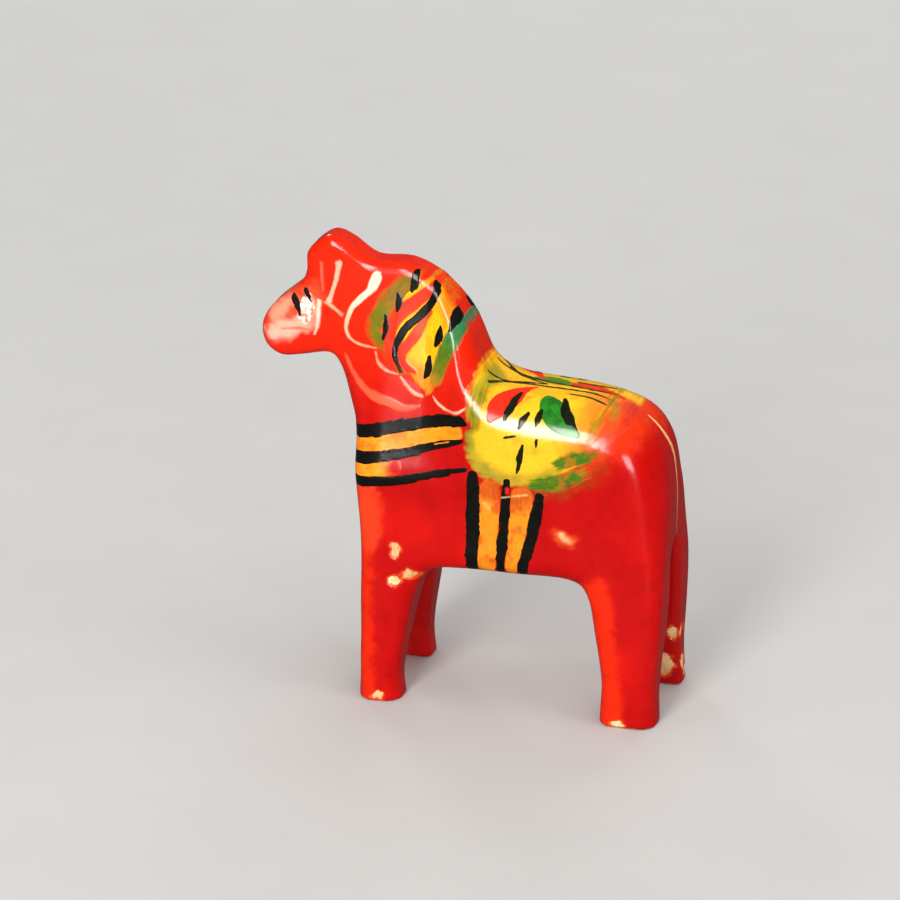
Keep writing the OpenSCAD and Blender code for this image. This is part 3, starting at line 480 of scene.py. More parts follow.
# Every painted node, in the order of painting, with these settings:
#   slot      its material slot, which also names its finish, unless "finish" names another
#   drawn     where it is painted: (plane, how far out from the middle it starts, strokes)
#   mirrored  whether the strokes are also painted as a mirror image
#   beneath   the nodes painted before it that it may lie on
#   cuts      how finely its faces are split, 3 unless given
#   colour    its paint, or "tints", one per stroke, or "blend", (share of the length, colour) along it
#   mottle    another colour in patches: (colour, size, how much)
#   washes    soft patches: (colour, dabs, softness, how much, and the plane if it isn't FLANK)
#   soft      width over which the border fades into what is beneath. "cover" is how much it hides
#   ragged    roughness of the border. "dry" is what a dry brush leaves out, "grow" widens strokes
# "cover", "dry" and "grow" are one number for all strokes, or one for each.
PAINTS = {
    "saddle_field": dict(
        slot="yellow_paint", drawn=[(FLANK, -25, SADDLE_FIELD)], cuts=2,
        colour=srgb(250, 188, 0), soft=1.7, ragged=0.5, grow=0.5,
        washes=[
            (srgb(160, 145, 8), [[7, 55, 0.8], [12, 52.6, 0.9], [18, 53.4, 1], [23, 56, 0.8]], 1.6, 0.7),
            (
                srgb(150, 146, 16),
                [[2.6, 63, 1.2], [3.2, 58.4, 1.3], [6.4, 54.6, 1.1], [10, 53, 0.8]], 2, 0.75,
            ),
            (srgb(110, 130, 16), [[2.6, 60, 1], [3.2, 66, 1.1], [4, 70, 1.2], [7, 73, 1.2]], 2, 0.7),
            (srgb(250, 130, 4), [[27, 61, 2.2], [29.6, 66, 3], [34, 71, 4]], 3.4, 0.9),
            (srgb(236, 62, 4), [[30.6, 60.6, 2.2], [33, 64, 2], [36.6, 68.4, 2]], 2.6, 0.9),
            (srgb(206, 24, 2), [[33.6, 60, 2], [37, 64.6, 2], [40.4, 69, 2], [41, 75, 3]], 2.6, 1),
            (srgb(56, 128, 20), [[14.6, 2.4, 1], [18, 2.6, 1.9], [21.6, 1.8, 1]], 0.4, 0.95, ABOVE),
            (SCARLET, [[22.4, 2.2, 0.8], [26, 2.4, 1.4], [30, 1.8, 1], [33.4, 1, 0.4]], 0.4, 0.95, ABOVE),
            (srgb(140, 120, 14), [[31.8, -2, 0.6], [33, -5, 0.8], [33.4, -8, 0.5]], 1, 0.6, ABOVE),
        ],
        mottle=(srgb(238, 150, 0), 2.2, 0.4),
    ),
    "saddle_green": dict(
        slot="green_paint", drawn=[(FLANK, 0, SADDLE_GREEN)], beneath=["saddle_field"],
        colour=srgb(70, 112, 12), soft=1.5, cover=(1, 1, 0.6, 0.75), ragged=0.6, dry=0.8, grow=0.9,
        mottle=(srgb(180, 100, 6), 1.3, 0.7),
    ),
    "saddle_petal": dict(
        slot="crimson_paint", drawn=[(SHOULDER, 40, SADDLE_PETAL)], beneath=["saddle_field"],
        colour=srgb(232, 40, 12), ragged=0.14, mottle=(srgb(200, 24, 6), 1.6, 0.6),
    ),
    "saddle_leaf": dict(
        slot="green_paint", drawn=[(SHOULDER, 40, SADDLE_LEAF)], beneath=["saddle_field"],
        colour=srgb(36, 125, 26), ragged=0.14, mottle=(srgb(20, 80, 14), 1.4, 0.6),
    ),
    "saddle_dabs": dict(
        slot="black_paint", drawn=[(SHOULDER, 40, SADDLE_DABS_TILTED), (FLANK, 0, SADDLE_DABS_SIDE)],
        beneath=["saddle_field", "saddle_petal", "saddle_leaf"],
        colour=srgb(22, 26, 12), ragged=0.22, dry=0.35,
    ),
    "saddle_vines": dict(
        slot="dark_green_paint", drawn=[(ABOVE, 60, SADDLE_VINES)], mirrored=True,
        beneath=["saddle_field", "saddle_petal", "saddle_leaf"],
        colour=srgb(36, 44, 10), ragged=0.15, dry=0.2, grow=0.1, mottle=(srgb(95, 85, 12), 1.5, 0.8),
    ),
    "mane_field": dict(
        slot="yellow_paint", finish="mane_yellow", drawn=[(FLANK, -0.4, MANE_FIELD)],
        colour=srgb(255, 180, 0), soft=0.8, ragged=0.2,
        washes=[
            (srgb(240, 110, 4), [[-3, 88.4, 2], [-2.2, 85.6, 1]], 2, 0.8),
            (srgb(190, 110, 6), [[-6, 92, 0.8], [-9.4, 92.8, 1]], 1.6, 0.7),
            (srgb(225, 110, 5), [[-8, 71.4, 1.6], [-11, 74, 1]], 2, 0.7),
        ],
        mottle=(srgb(235, 140, 0), 1.8, 0.5),
    ),
    "mane_olive": dict(
        slot="olive_paint", drawn=[(FLANK, 0, MANE_OLIVE)], ragged=0.25, grow=0.85,
        colour=srgb(134, 102, 6), soft=1.6,
        washes=[(srgb(104, 110, 8), [[-17.6, 85, 1], [-18.6, 81, 1.2], [-16.4, 78, 0.9]], 1.5, 0.9)],
        mottle=(srgb(190, 100, 6), 1.6, 0.5),
    ),
    "mane_red": dict(
        slot="crimson_paint", drawn=[(FLANK, 0, MANE_RED)], beneath=["mane_field", "mane_olive"],
        colour=srgb(240, 42, 3), ragged=0.12, soft=0.4, grow=(0.6, 0.2),
        washes=[(srgb(165, 80, 5), [[-7.2, 85.6, 0.6], [-9, 82.4, 0.7]], 1.6, 0.8)],
    ),
    "mane_green": dict(
        slot="green_paint", drawn=[(FLANK, 0, MANE_GREEN)], beneath=["mane_field", "mane_olive"],
        blend=[(0, TEAL), (0.35, srgb(72, 120, 20)), (0.7, srgb(110, 110, 8)), (1, OCHRE)],
        ragged=0.25, dry=0.3, soft=0.8, grow=0.75,
    ),
    "mane_black": dict(
        slot="black_paint", drawn=[(FLANK, 2.9, MANE_BLACK)], grow=0.1,
        beneath=["mane_field", "mane_olive", "mane_red", "mane_green"],
        colour=BLACK, ragged=0.2, dry=0.22,
        washes=[(BROWN, [[-13.2, 74, 0.4], [-12.6, 72.8, 0.5]], 1.2, 0.8)],
    ),
    "chest_ochre": dict(
        slot="ochre_paint", drawn=[(FLANK, -25, CHEST_OCHRE)], ragged=0.3, cuts=2, grow=0.5,
        colour=srgb(252, 145, 16), soft=0.7,
        washes=[
            (srgb(190, 130, 10), [[-1, 61, 0.8], [1.4, 61.6, 0.8]], 1.6, 0.7),
            (srgb(190, 4, 0), [[-12.2, 53, 1.8], [-10.4, 53.2, 1.8]], 1.9, 1),
        ],
        mottle=(srgb(228, 100, 8), 1.7, 0.6),
    ),
    "chest_bands": dict(
        slot="black_paint", drawn=[(FLANK, -25, CHEST_BANDS)], beneath=["chest_ochre"],
        colour=BLACK, ragged=0.26, dry=(0.12, 0.6, 0.3), grow=(0.32, 0.4, 0.34),
    ),
    "girth_ochre": dict(
        slot="ochre_paint", drawn=[(FLANK, 8, GIRTH_OCHRE)], ragged=0.3, grow=0.5,
        colour=srgb(236, 136, 14), soft=0.5,
        washes=[
            (srgb(196, 66, 6), [[7.6, 50.4, 1.8], [15, 49.6, 2]], 2.6, 0.8),
            (srgb(245, 195, 120), [[13, 49.3, 0.1], [16.4, 50, 0.1]], 0.3, 0.7),
            (srgb(245, 185, 105), [[7.2, 47, 0.3], [7.8, 46.2, 0.3]], 0.5, 0.6),
        ],
        mottle=(srgb(205, 78, 6), 2.4, 0.85),
    ),
    "girth_lines": dict(
        slot="black_paint", drawn=[(FLANK, 8, GIRTH_LINES)], beneath=["girth_ochre", "saddle_field"],
        colour=BLACK, ragged=0.3, dry=0.15, grow=0.22,
        washes=[
            (SCARLET, [[12, 50.8, 0.3], [12, 50, 0.3]], 0.4, 0.8),
            (srgb(225, 190, 140), [[10.4, 48.7, 0.1], [13, 49.3, 0.1]], 0.2, 0.7),
        ],
    ),
    "rein": dict(
        slot="pale_paint", drawn=[(FLANK, 0, REIN)], beneath=["mane_olive"],
        blend=[(0, CREAM), (0.25, CREAM), (0.5, srgb(252, 190, 150)), (1, PINK)],
        ragged=0.14, dry=0.1, soft=0.4, grow=0.08,
    ),
    "scallops": dict(
        slot="pink_paint", drawn=[(FLANK, 0, SCALLOPS)],
        beneath=["mane_field", "mane_olive", "saddle_field", "chest_bands"],
        tints=[PINK, PINK, srgb(252, 185, 145), srgb(238, 88, 56)],
        ragged=0.16, dry=0.15, soft=0.6, grow=0.15,
    ),
    "bridle": dict(
        slot="pale_paint", drawn=[(FLANK, 0, BRIDLE)],
        tints=[srgb(238, 100, 75), srgb(250, 178, 145), PINK, srgb(252, 205, 180), srgb(240, 110, 80)],
        ragged=0.16, dry=0.15, soft=0.6, grow=0.2,
    ),
    "eye_white": dict(
        slot="white_paint", drawn=[(FLANK, 0, EYE_WHITE)], ragged=0.4, dry=0.3, grow=0.35,
        colour=srgb(252, 228, 214), soft=0.6, mottle=(srgb(238, 110, 84), 0.7, 0.9),
    ),
    "eye_black": dict(
        slot="black_paint", drawn=[(FLANK, 0, EYE_BLACK)], beneath=["eye_white", "bridle"],
        colour=srgb(30, 22, 20), ragged=0.35, dry=0.2,
    ),
    "tail_line": dict(
        slot="pale_paint", drawn=[(BEHIND, 30, TAIL_LINE)],
        blend=[(0, srgb(245, 190, 130)), (0.5, BEIGE), (1, srgb(225, 120, 60))],
        ragged=0.12, dry=0.12, soft=0.3, grow=0.14,
    ),
}
TWO_SIDED = ("saddle_field", "saddle_vines", "chest_ochre", "chest_bands", "tail_line")
INSIDE, ALONG, ACROSS, SHARE, STROKE = range(5)  # columns of what brush() returns
NEAR = 3  # how far round a stroke the distance to it is worked out
MOST_STROKES = 9  # at least as many as any node has
MARGIN = 0.8  # how far beyond a border the faces are still worked on
SLIVER = 0.03  # least thickness of a film


def project(p, plane):
    """Where points are seen in a drawing plane, and how far out they lie from it."""
    if plane == BEHIND:
        return p[:, [0, 2]], p[:, 1]
    t = math.radians(plane)
    up = p[:, 2] * math.cos(t) - p[:, 0] * math.sin(t)
    return np.stack([p[:, 1], up], 1), p[:, 0] * math.cos(t) + p[:, 2] * math.sin(t)


def stretch(a, b, length, points):
    """How far points lie inside a straight stretch of a stroke, along it and across it."""
    way = (b[:2] - a[:2]) / max(length, 1e-6)
    from_a = points - a[:2]
    along = np.clip(from_a @ way, 0, length)
    away = np.linalg.norm(from_a - along[:, None] * way, axis=1)
    inside = mix(a[2], b[2], along / max(length, 1e-6)) - away
    return inside, along, from_a[:, 0] * way[1] - from_a[:, 1] * way[0]


def brush(p, drawn):
    """Rows of: how far inside a stroke, length along it, distance across it, its share, its number."""
    hit = np.tile([AWAY, 0, 0, 0, 0], (len(p), 1))
    number = 0
    for plane, start, strokes in drawn:
        flat, out = project(p, plane)
        for dabs in strokes:
            path = open_curve(dabs)
            room = path[:, 2].max() + NEAR
            low, high = path[:, :2].min(0) - room, path[:, :2].max(0) + room
            near = np.nonzero(np.all((flat > low) & (flat < high), axis=1) & (out > start - NEAR))[0]
            lengths = np.linalg.norm(np.diff(path[:, :2], axis=0), axis=1)
            so_far = 0
            for a, b, length in zip(path[:-1], path[1:], lengths):
                inside, along, across = stretch(a, b, length, flat[near])
                inside = np.minimum(inside, out[near] - start)
                along = so_far + along
                numbers = np.full(len(near), number)
                row = np.stack([inside, along, across, along / lengths.sum(), numbers], 1)
                better = inside > hit[near, INSIDE]
                hit[near[better]] = row[better]
                so_far += length
            number += 1
    return hit


def side_of(p, side):
    """Points as the left flank's drawing has them: the right flank is drawn as its mirror image."""
    return p * (1 if side >= 0 else -1, 1, 1)


def per_stroke(value, hit):
    """A setting for the stroke at each point, from one number for all strokes or one for each."""
    return np.resize(value, MOST_STROKES)[hit[:, STROKE].astype(int)]


def bristle_marks(hit, long, wide, shift=0):
    """Where each point lies among a brush's bristle marks, which are this long and this wide."""
    return np.stack([hit[:, ALONG] / long, hit[:, ACROSS] / wide, hit[:, STROKE] * 3 + shift], 1)


def stroke_at(name, p, side):
    """Where the node's strokes lie, with the roughness of their borders taken in."""
    paint = PAINTS[name]
    hit = brush(side_of(p, side), paint["drawn"])
    if paint.get("mirrored"):
        other = brush(side_of(p, -1), paint["drawn"])
        hit = np.where((other[:, INSIDE] > hit[:, INSIDE])[:, None], other, hit)
    seed = 3 + len(name) + (side < 0)
    wear = paint["ragged"] * (0.7 * noise(p, 1.3, seed) + 0.45 * noise(p, 0.6, seed + 1))
    if "dry" in paint:
        ends = ramp(0.45, 1, hit[:, SHARE])
        gaps = 0.35 + noise(bristle_marks(hit, 5, 0.45, seed), 1, seed)
        wear = wear - per_stroke(paint["dry"], hit) * (0.25 + ends) * gaps
    hit[:, INSIDE] += wear + per_stroke(paint.get("grow", 0), hit)
    return hit


def beneath(name, side):
    """The nodes that this one may lie on, each with the side that it is drawn for."""
    for lower in PAINTS[name].get("beneath", []):
        yield lower, 0 if lower in TWO_SIDED else side


def top_of(name, p, side, hit=None):
    """How high the node's film stands over the red coat."""
    floor = np.zeros(len(p))
    for lower, lower_side in beneath(name, side):
        floor = np.maximum(floor, top_of(lower, p, lower_side))
    inside = (stroke_at(name, p, side) if hit is None else hit)[:, INSIDE]
    wide = max(PAINTS[name].get("soft", 0), 0.3)
    hidden = np.maximum(EDGE_SLOPE * inside, -DIVE)
    return floor + np.where(inside > 0, FILM * ramp(0, wide, inside), hidden)


def stroke_colour(paint, hit):
    """The plain colour of the strokes."""
    if "blend" in paint:
        stops, colours = zip(*paint["blend"])
        return np.stack([np.interp(hit[:, SHARE], stops, np.array(colours)[:, i]) for i in range(3)], 1)
    if "tints" in paint:
        return np.array(paint["tints"])[hit[:, STROKE].astype(int)]
    return np.tile(paint["colour"], (len(hit), 1))


def colour_of(name, p, side, hit):
    """The node's colour at each point, with its patches, and faded out towards its border."""
    paint = PAINTS[name]
    drawn = side_of(p, side)
    colour = stroke_colour(paint, hit)
    if "mottle" in paint:
        other, size, most = paint["mottle"]
        share = most * ramp(-0.1, 0.6, noise(p, size, 21) + 0.5 * noise(p, size / 2.7, 22))
        colour = mix(colour, other, share[:, None])
    for other, blobs, soft, most, *plane in paint.get("washes", []):
        where = (*plane, 40, [blobs]) if plane else (FLANK, 0, [blobs])
        inside = brush(drawn, [where])[:, INSIDE]
        inside += 0.35 * soft * noise(p, max(0.8 * soft, 0.5), 23)
        colour = mix(colour, other, most * ramp(-soft, 0.4 * soft, inside)[:, None])
    if "soft" in paint:
        streaks = noise(bristle_marks(hit, 3, 0.5), 1, 25)
        inside = hit[:, INSIDE] + 0.4 * paint["soft"] * streaks
        share = per_stroke(paint.get("cover", 1), hit) * ramp(0, paint["soft"], inside)
        colour = mix(under_colour(name, p, side), colour, share[:, None])
    return colour


def under_colour(name, p, side):
    """The colour of the coat, or of the strokes painted over it before this node."""
    colour = coat_colour(p)
    for lower, lower_side in beneath(name, side):
        hit = stroke_at(lower, p, lower_side)
        painted = (hit[:, INSIDE] > 0)[:, None]
        colour = np.where(painted, colour_of(lower, p, lower_side, hit), colour)
    return colour


def film(name, side, base):
    """One painted node: the base's faces under its strokes, split finer and lifted by the film."""
    points, quads = base
    hit = stroke_at(name, points, side)
    near = (hit[:, INSIDE] > -MARGIN)[quads].any(1)
    quads, points = kept(quads, near, points)
    points, quads = split(points, quads, PAINTS[name].get("cuts", 3))
    points, outward = settle(points, 2)
    hit = stroke_at(name, points, side)
    shown = (hit[:, INSIDE] > -DIVE / EDGE_SLOPE)[quads].any(1)
    quads, points, outward, hit = kept(quads, shown, points, outward, hit)
    top = COAT + top_of(name, points, side, hit)
    low = np.minimum(top - SLIVER, COAT - DIVE - 0.02)
    solid, faces = closed(points + outward * top[:, None], points + outward * low[:, None], quads)
    colours = colour_of(name, points, side, hit)
    grain = np.stack([hit[:, ALONG] / 3, hit[:, ACROSS] / 0.4, hit[:, STROKE] * 5], 1)
    return solid, faces, np.tile(colours, (2, 1)), np.tile(grain, (2, 1))


# ---- The red coat, with its chips and the worn edges round the soles ----
# Chips are [along the plane, height, width, height of the chip], seen in one plane.
CHIPS_SIDE = [[-12.6, 34.4, 1.5, 2.1], [-12.6, 27.6, 1.6, 1.2], [-9.2, 29.4, 2, 1.1]]
CHIPS_FOOT = [[-16, 1.4, 1.1, 1], [37, 0.9, 1.5, 0.8]]
CHIPS_REAR = [[-12, 5, 2.2, 2.6], [-9.5, 13, 1.2, 1.6], [-13.5, 2, 1.8, 1.6]]
CHIPS_INNER = [[41.4, 5, 2.8, 4], [43.2, 12.9, 1.2, 1.8]]
# Where the chips are: (chips, plane, how far out their middle lies)
CHIPS = [(CHIPS_SIDE + CHIPS_FOOT, FLANK, 16), (CHIPS_INNER, FLANK, -9), (CHIPS_REAR, BEHIND, 41)]
CHIP_REACH = 5  # how far to either side of that middle a chip goes on
CHIP_SHARE = 0.6  # a chip's share of the size given. Its rough border adds the rest
CHIP_SLOPE = 0.45  # how fast the coat gets thinner towards a chip
CHIP_DEPTH = 0.12  # how deep in the wood the coat's hidden border lies
COAT_GRAIN = 2.5  # size of the coat's marks

# Soft patches of other colours: the worn saddle edge, abrasion on the flank, pale patches on the muzzle,
# most of them a painted sheen, and lighter and darker strips down the chest and legs, which are painted
# light and shade of the knife facets. Each is (colour, how far out it starts, dabs seen from the flank,
# softness, how much).
COAT_WEAR_AND_PAINTED_LIGHT = [
    (srgb(150, 70, 8), 0, [[19, 51, 1.5], [25, 53.6, 2], [31, 58, 2]], 2.6, 0.45),
    (srgb(240, 60, 8), 0, [[27, 60, 3], [34, 64, 3], [39, 66, 2]], 4, 0.6),
    (srgb(238, 84, 24), 8, [[22.6, 42, 0.6], [24.6, 41, 1], [26.4, 40.4, 0.5]], 1.2, 0.75),
    (srgb(250, 196, 130), 8, [[23.8, 42, 0.2], [24.4, 41.2, 0.3], [25.8, 40.6, 0.2]], 0.7, 0.8),
    # Painted sheen: this patch and the next two paint a pale pinkish sheen across the muzzle and cheek.
    (srgb(240, 84, 50), 0, [[-34, 86.6, 2], [-39, 82, 2.6], [-42, 78.6, 2]], 2.6, 0.7),
    (srgb(246, 180, 156), 0, [[-35.6, 80.4, 1.3], [-38.6, 78.8, 1.6], [-41.8, 77.6, 1.6]], 1.3, 0.9),
    (srgb(246, 160, 128), 0, [[-38, 85.4, 0.7], [-40, 83.4, 1.1], [-41.8, 81.2, 0.9]], 1.4, 0.75),
    (srgb(246, 150, 120), 0, [[-33.4, 85, 0.7], [-33, 81.6, 0.9], [-34.4, 79.4, 0.7]], 1, 0.8),
    # Painted light and shade of the knife facets: lighter strips down the front of the hind leg, the
    # front leg and the chest, and a darker strip down the back of the hind leg.
    (srgb(238, 42, 0), 6, [[31.4, 30, 2.2], [33.8, 15, 2.4], [35.6, 2, 2.4]], 2, 0.75),
    (srgb(238, 42, 0), 6, [[-19.8, 44, 1.6], [-19.4, 22, 1.6], [-18.8, 2, 1.4]], 2, 0.75),
    (srgb(244, 66, 26), 8, [[-19.4, 46.4, 2.4], [-18.8, 42, 2.8], [-18.6, 36, 2]], 1.4, 0.7),
    (srgb(176, 2, 0), 6, [[41.6, 34, 1.2], [42.4, 16, 1.2], [42.6, 2, 1]], 2, 0.6),
]


def chip_at(p):
    """How far inside a chip each point lies, or how far from the nearest one, as a negative number."""
    inside = np.full(len(p), AWAY)
    for chips, plane, middle in CHIPS:
        flat, out = project(p, plane)
        for u, v, wide, high in chips:
            wide, high = CHIP_SHARE * wide, CHIP_SHARE * high
            reach = np.hypot((flat[:, 0] - u) / wide, (flat[:, 1] - v) / high)
            oval = 0.5 * (wide + high) * (1 - reach)
            inside = np.maximum(inside, np.minimum(oval, CHIP_REACH - np.abs(out - middle)))
    return inside + 0.6 * noise(p, 1.3, 31) + 0.45 * noise(p, 0.55, 32) + 0.1


def sole_at(p, outward):
    """How far inside a sole's bare face each point lies."""
    flat = -outward[:, 2] - 0.62
    return np.where(p[:, 2] < 1.5, 2 * flat + 0.25 * noise(p, 1.2, 33), AWAY)


def coat_colour(p):
    """The red coat's colour: painted light that makes it brighter and more orange higher up, with soft
    patches of wear and of painted sheen and shade, and worn round its chips.
    """
    colour = np.tile(RED, (len(p), 1))
    patches = ramp(-0.2, 0.8, noise(p, 13, 35) + 0.4 * noise(p, 4, 36))
    colour = mix(colour, srgb(228, 16, 0), 0.35 * patches[:, None])
    # Painted light: the coat turns brighter and more orange towards the top, as if lit from above.
    colour = mix(colour, srgb(240, 40, 0), 0.7 * ramp(54, 84, p[:, 2])[:, None])
    # Patches of wear, and of painted sheen and painted shade, from the list above.
    for other, start, dabs, soft, most in COAT_WEAR_AND_PAINTED_LIGHT:
        for side in (1, -1):
            inside = brush(side_of(p, side), [(FLANK, start, [dabs])])[:, INSIDE]
            inside = inside + 0.4 * soft * (noise(p, soft, 34) + noise(p, 0.7, 38))
            colour = mix(colour, other, most * ramp(-soft, 0.5 * soft, inside)[:, None])
    worn = ramp(-0.9, 0.1, chip_at(p))
    return mix(colour, srgb(236, 96, 28), 0.8 * worn[:, None])


def refined(points, quads, marked):
    """Splits the marked faces finer. Their neighbours take the new corners in, so nothing gapes."""
    bm = bmesh.new()
    verts = [bm.verts.new(co) for co in points.tolist()]
    faces = [bm.faces.new([verts[i] for i in q]) for q in quads.tolist()]
    edges = {e for f, m in zip(faces, marked.tolist()) if m for e in f.edges}
    edges = sorted(edges, key=lambda e: tuple(sorted(v.co[:] for v in e.verts)))
    bmesh.ops.subdivide_edges(bm, edges=edges, cuts=2, use_grid_fill=True)
    bm.verts.index_update()
    co = np.array([v.co[:] for v in bm.verts])
    loops = [[v.index for v in f.verts] for f in bm.faces]
    bm.free()
    return co, loops


def red_coat(base):
    """The coat over the whole block. It thins out, and goes under the wood, at its chips and soles."""
    points, quads = base
    outward = settle(points, 0)[1]
    marked = ((chip_at(points) > -1) | (sole_at(points, outward) > -MARGIN))[quads].any(1)
    points, loops = refined(points, quads, marked)
    points, outward = settle(points, 2)
    bare = np.maximum(chip_at(points), sole_at(points, outward))
    height = np.clip(-CHIP_SLOPE * bare, -CHIP_DEPTH, COAT) + 0.012 * noise(points, 2.2, 37)
    lifted = points + outward * height[:, None]
    return piece("coat", lifted, loops, coat_colour(points), points / COAT_GRAIN)


# ---- Materials: their noise scales are in waves per metre ----
CLOUDS, FINE, SPECKS, VARNISH = 380.0, 2600.0, 1500.0, 120.0
VARNISH_WEIGHT, PAINT_SPECULAR = 0.85, 0.05


class Tree:
    """Wires one material's nodes."""

    def __init__(self, name):
        self.material = bpy.data.materials.new(name)
        self.material.use_nodes = True
        self.nodes = self.material.node_tree.nodes
        self.links = self.material.node_tree.links
        self.shader = self.nodes["Principled BSDF"]

    def add(self, kind, inputs=None, **settings):
        made = self.nodes.new("ShaderNode" + kind)
        for key, value in settings.items():
            setattr(made, key, value)
        for key, value in (inputs or {}).items():
            self.put(made.inputs[key], value)
        return made

    def put(self, socket, value):
        """Links a node's output to the socket, or sets the socket itself to a number or colour."""
        if isinstance(value, bpy.types.NodeSocket):
            self.links.new(value, socket)
        elif isinstance(value, (tuple, list, np.ndarray)) and len(value) == 3 and socket.type == "RGBA":
            socket.default_value = (*value, 1)
        else:
            socket.default_value = value

    def shade(self, **inputs):
        """Sets the shader's inputs, named with _ for a space."""
        for name, value in inputs.items():
            self.put(self.shader.inputs[name.replace("_", " ")], value)

    def noise(self, vector, scale, detail=3.0, rough=0.55):
        made = self.add("TexNoise", {
            "Vector": vector, "Scale": scale, "Detail": detail, "Roughness": rough,
        })
        return made.outputs["Fac"]

    def spread(self, value, low, high, to_low, to_high):
        made = self.add("MapRange", {
            "Value": value, "From Min": low, "From Max": high, "To Min": to_low, "To Max": to_high,
        })
        return made.outputs["Result"]

    def mixed(self, share, a, b, kind="MIX"):
        made = self.add("Mix", data_type="RGBA", blend_type=kind)
        self.put(made.inputs[0], share)
        self.put(made.inputs[6], a)
        self.put(made.inputs[7], b)
        return made.outputs[2]

    def bump(self, height, strength, distance, normal=None):
        made = self.add("Bump", {"Height": height, "Strength": strength, "Distance": distance * MM})
        if normal is not None:
            self.put(made.inputs["Normal"], normal)
        return made.outputs["Normal"]


def paint_material(name, streaks, patches, rough, relief, haze, varnish_ior):
    """Brushed paint under clear varnish: streaks along the stroke, uneven cover and a soft gloss."""
    t = Tree(name)
    where = t.add("TexCoord").outputs["Object"]
    paint = t.add("Attribute", attribute_name="paint").outputs["Color"]
    way = t.add("Attribute", attribute_name="grain").outputs["Vector"]
    bristles = t.noise(way, 1.0, 4.0, 0.6)
    cloud = t.noise(where, CLOUDS, 4.0, 0.6)
    fine = t.noise(where, FINE, 2.0)
    lit = t.spread(bristles, 0.3, 0.7, 1 - streaks, 1 + streaks)
    shade = t.spread(cloud, 0.3, 0.7, 1 - patches, 1 + patches)
    tone = t.mixed(1.0, paint, lit, "MULTIPLY")
    tone = t.mixed(1.0, tone, shade, "MULTIPLY")
    speck = t.spread(t.noise(where, SPECKS, 2.0, 0.7), 0.72, 0.78, 0.0, 0.5)
    tone = t.mixed(speck, tone, srgb(60, 12, 4))
    t.shade(Base_Color=tone, Roughness=t.spread(cloud, 0.3, 0.75, rough, rough + 0.16))
    t.shade(Normal=t.bump(fine, 0.12, 0.02, t.bump(bristles, relief, 0.05)))
    varnish = t.noise(where, VARNISH, 3.0, 0.5)
    t.shade(Coat_Normal=t.bump(varnish, 0.12, 0.5, t.bump(bristles, 0.3 * relief, 0.04)))
    t.shade(Coat_Weight=VARNISH_WEIGHT, Coat_Roughness=haze, Coat_IOR=varnish_ior)
    t.shade(Specular_IOR_Level=PAINT_SPECULAR)
    return t.material


def pine_material():
    """Bare pine: rings and fibres along the legs, a little grey in the pores."""
    t = Tree("bare_pine")
    where = t.add("TexCoord").outputs["Object"]
    long = t.add("Mapping", {"Vector": where, "Scale": (1.0, 1.0, 0.12)}).outputs["Vector"]
    rings = t.add("TexWave", {
        "Vector": long, "Scale": 190.0, "Distortion": 3.5, "Detail": 3.0, "Detail Scale": 1.2,
    }).outputs["Fac"]
    fibres = t.noise(long, 3200.0, 4.0, 0.7)
    dirt = t.noise(where, 500.0, 4.0, 0.6)
    tone = t.mixed(rings, srgb(236, 200, 140), srgb(205, 148, 82))
    tone = t.mixed(t.spread(fibres, 0.45, 0.75, 0.0, 0.6), tone, srgb(250, 226, 180))
    tone = t.mixed(t.spread(dirt, 0.5, 0.75, 0.0, 0.5), tone, srgb(150, 96, 56))
    t.shade(Base_Color=tone, Roughness=t.spread(fibres, 0.3, 0.7, 0.5, 0.75))
    t.shade(Normal=t.bump(fibres, 0.5, 0.06, t.bump(rings, 0.25, 0.08)))
    return t.material


# Each finish: strength of its streaks and of its patches, roughness, relief of the bristle marks, and
# the haze and refractive index of the varnish over it
FINISH = {
    "red_lacquer": (0.06, 0.07, 0.26, 0.1, 0.16, 1.55),
    "yellow_paint": (0.14, 0.1, 0.3, 0.5, 0.25, 2.0),
    "mane_yellow": (0.16, 0.12, 0.32, 0.5, 0.2, 1.5),
    "ochre_paint": (0.2, 0.16, 0.34, 0.6, 0.24, 1.5),
    "olive_paint": (0.2, 0.16, 0.32, 0.5, 0.2, 1.5),
    "green_paint": (0.28, 0.16, 0.3, 0.6, 0.22, 1.7),
    "dark_green_paint": (0.3, 0.2, 0.3, 0.5, 0.24, 1.5),
    "crimson_paint": (0.14, 0.1, 0.28, 0.4, 0.2, 1.5),
    "black_paint": (0.3, 0.2, 0.26, 0.3, 0.18, 1.42),
    "pale_paint": (0.1, 0.08, 0.32, 0.6, 0.2, 1.5),
    "pink_paint": (0.12, 0.1, 0.32, 0.6, 0.2, 1.5),
    "white_paint": (0.12, 0.2, 0.32, 0.6, 0.2, 1.5),
}


def finish_piece(made, material, node):
    """Gives a piece its material and its body, and hides the CAD node that it stands for."""
    made.data.materials.append(material)
    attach(made, "root")
    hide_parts(node)


def build_horse():
    """The pine block, the red coat, and a film for every painted node."""
    points, quads = carved_surface()
    base = settle(points, 3)[0], quads
    paints = {slot: paint_material(slot, *numbers) for slot, numbers in FINISH.items()}
    finish_piece(piece("pine_block", base[0], quads.tolist()), pine_material(), "carved_body")
    finish_piece(red_coat(base), paints["red_lacquer"], "red_coat")
    for name, paint in PAINTS.items():
        sides = {"": 0} if name in TWO_SIDED else {"_left": 1, "_right": -1}
        for ending, side in sides.items():
            solid, faces, colours, grain = film(name, side, base)
            made = piece("film_" + name + ending, solid, faces.tolist(), colours, grain)
            finish_piece(made, paints[paint.get("finish", paint["slot"])], name + ending)


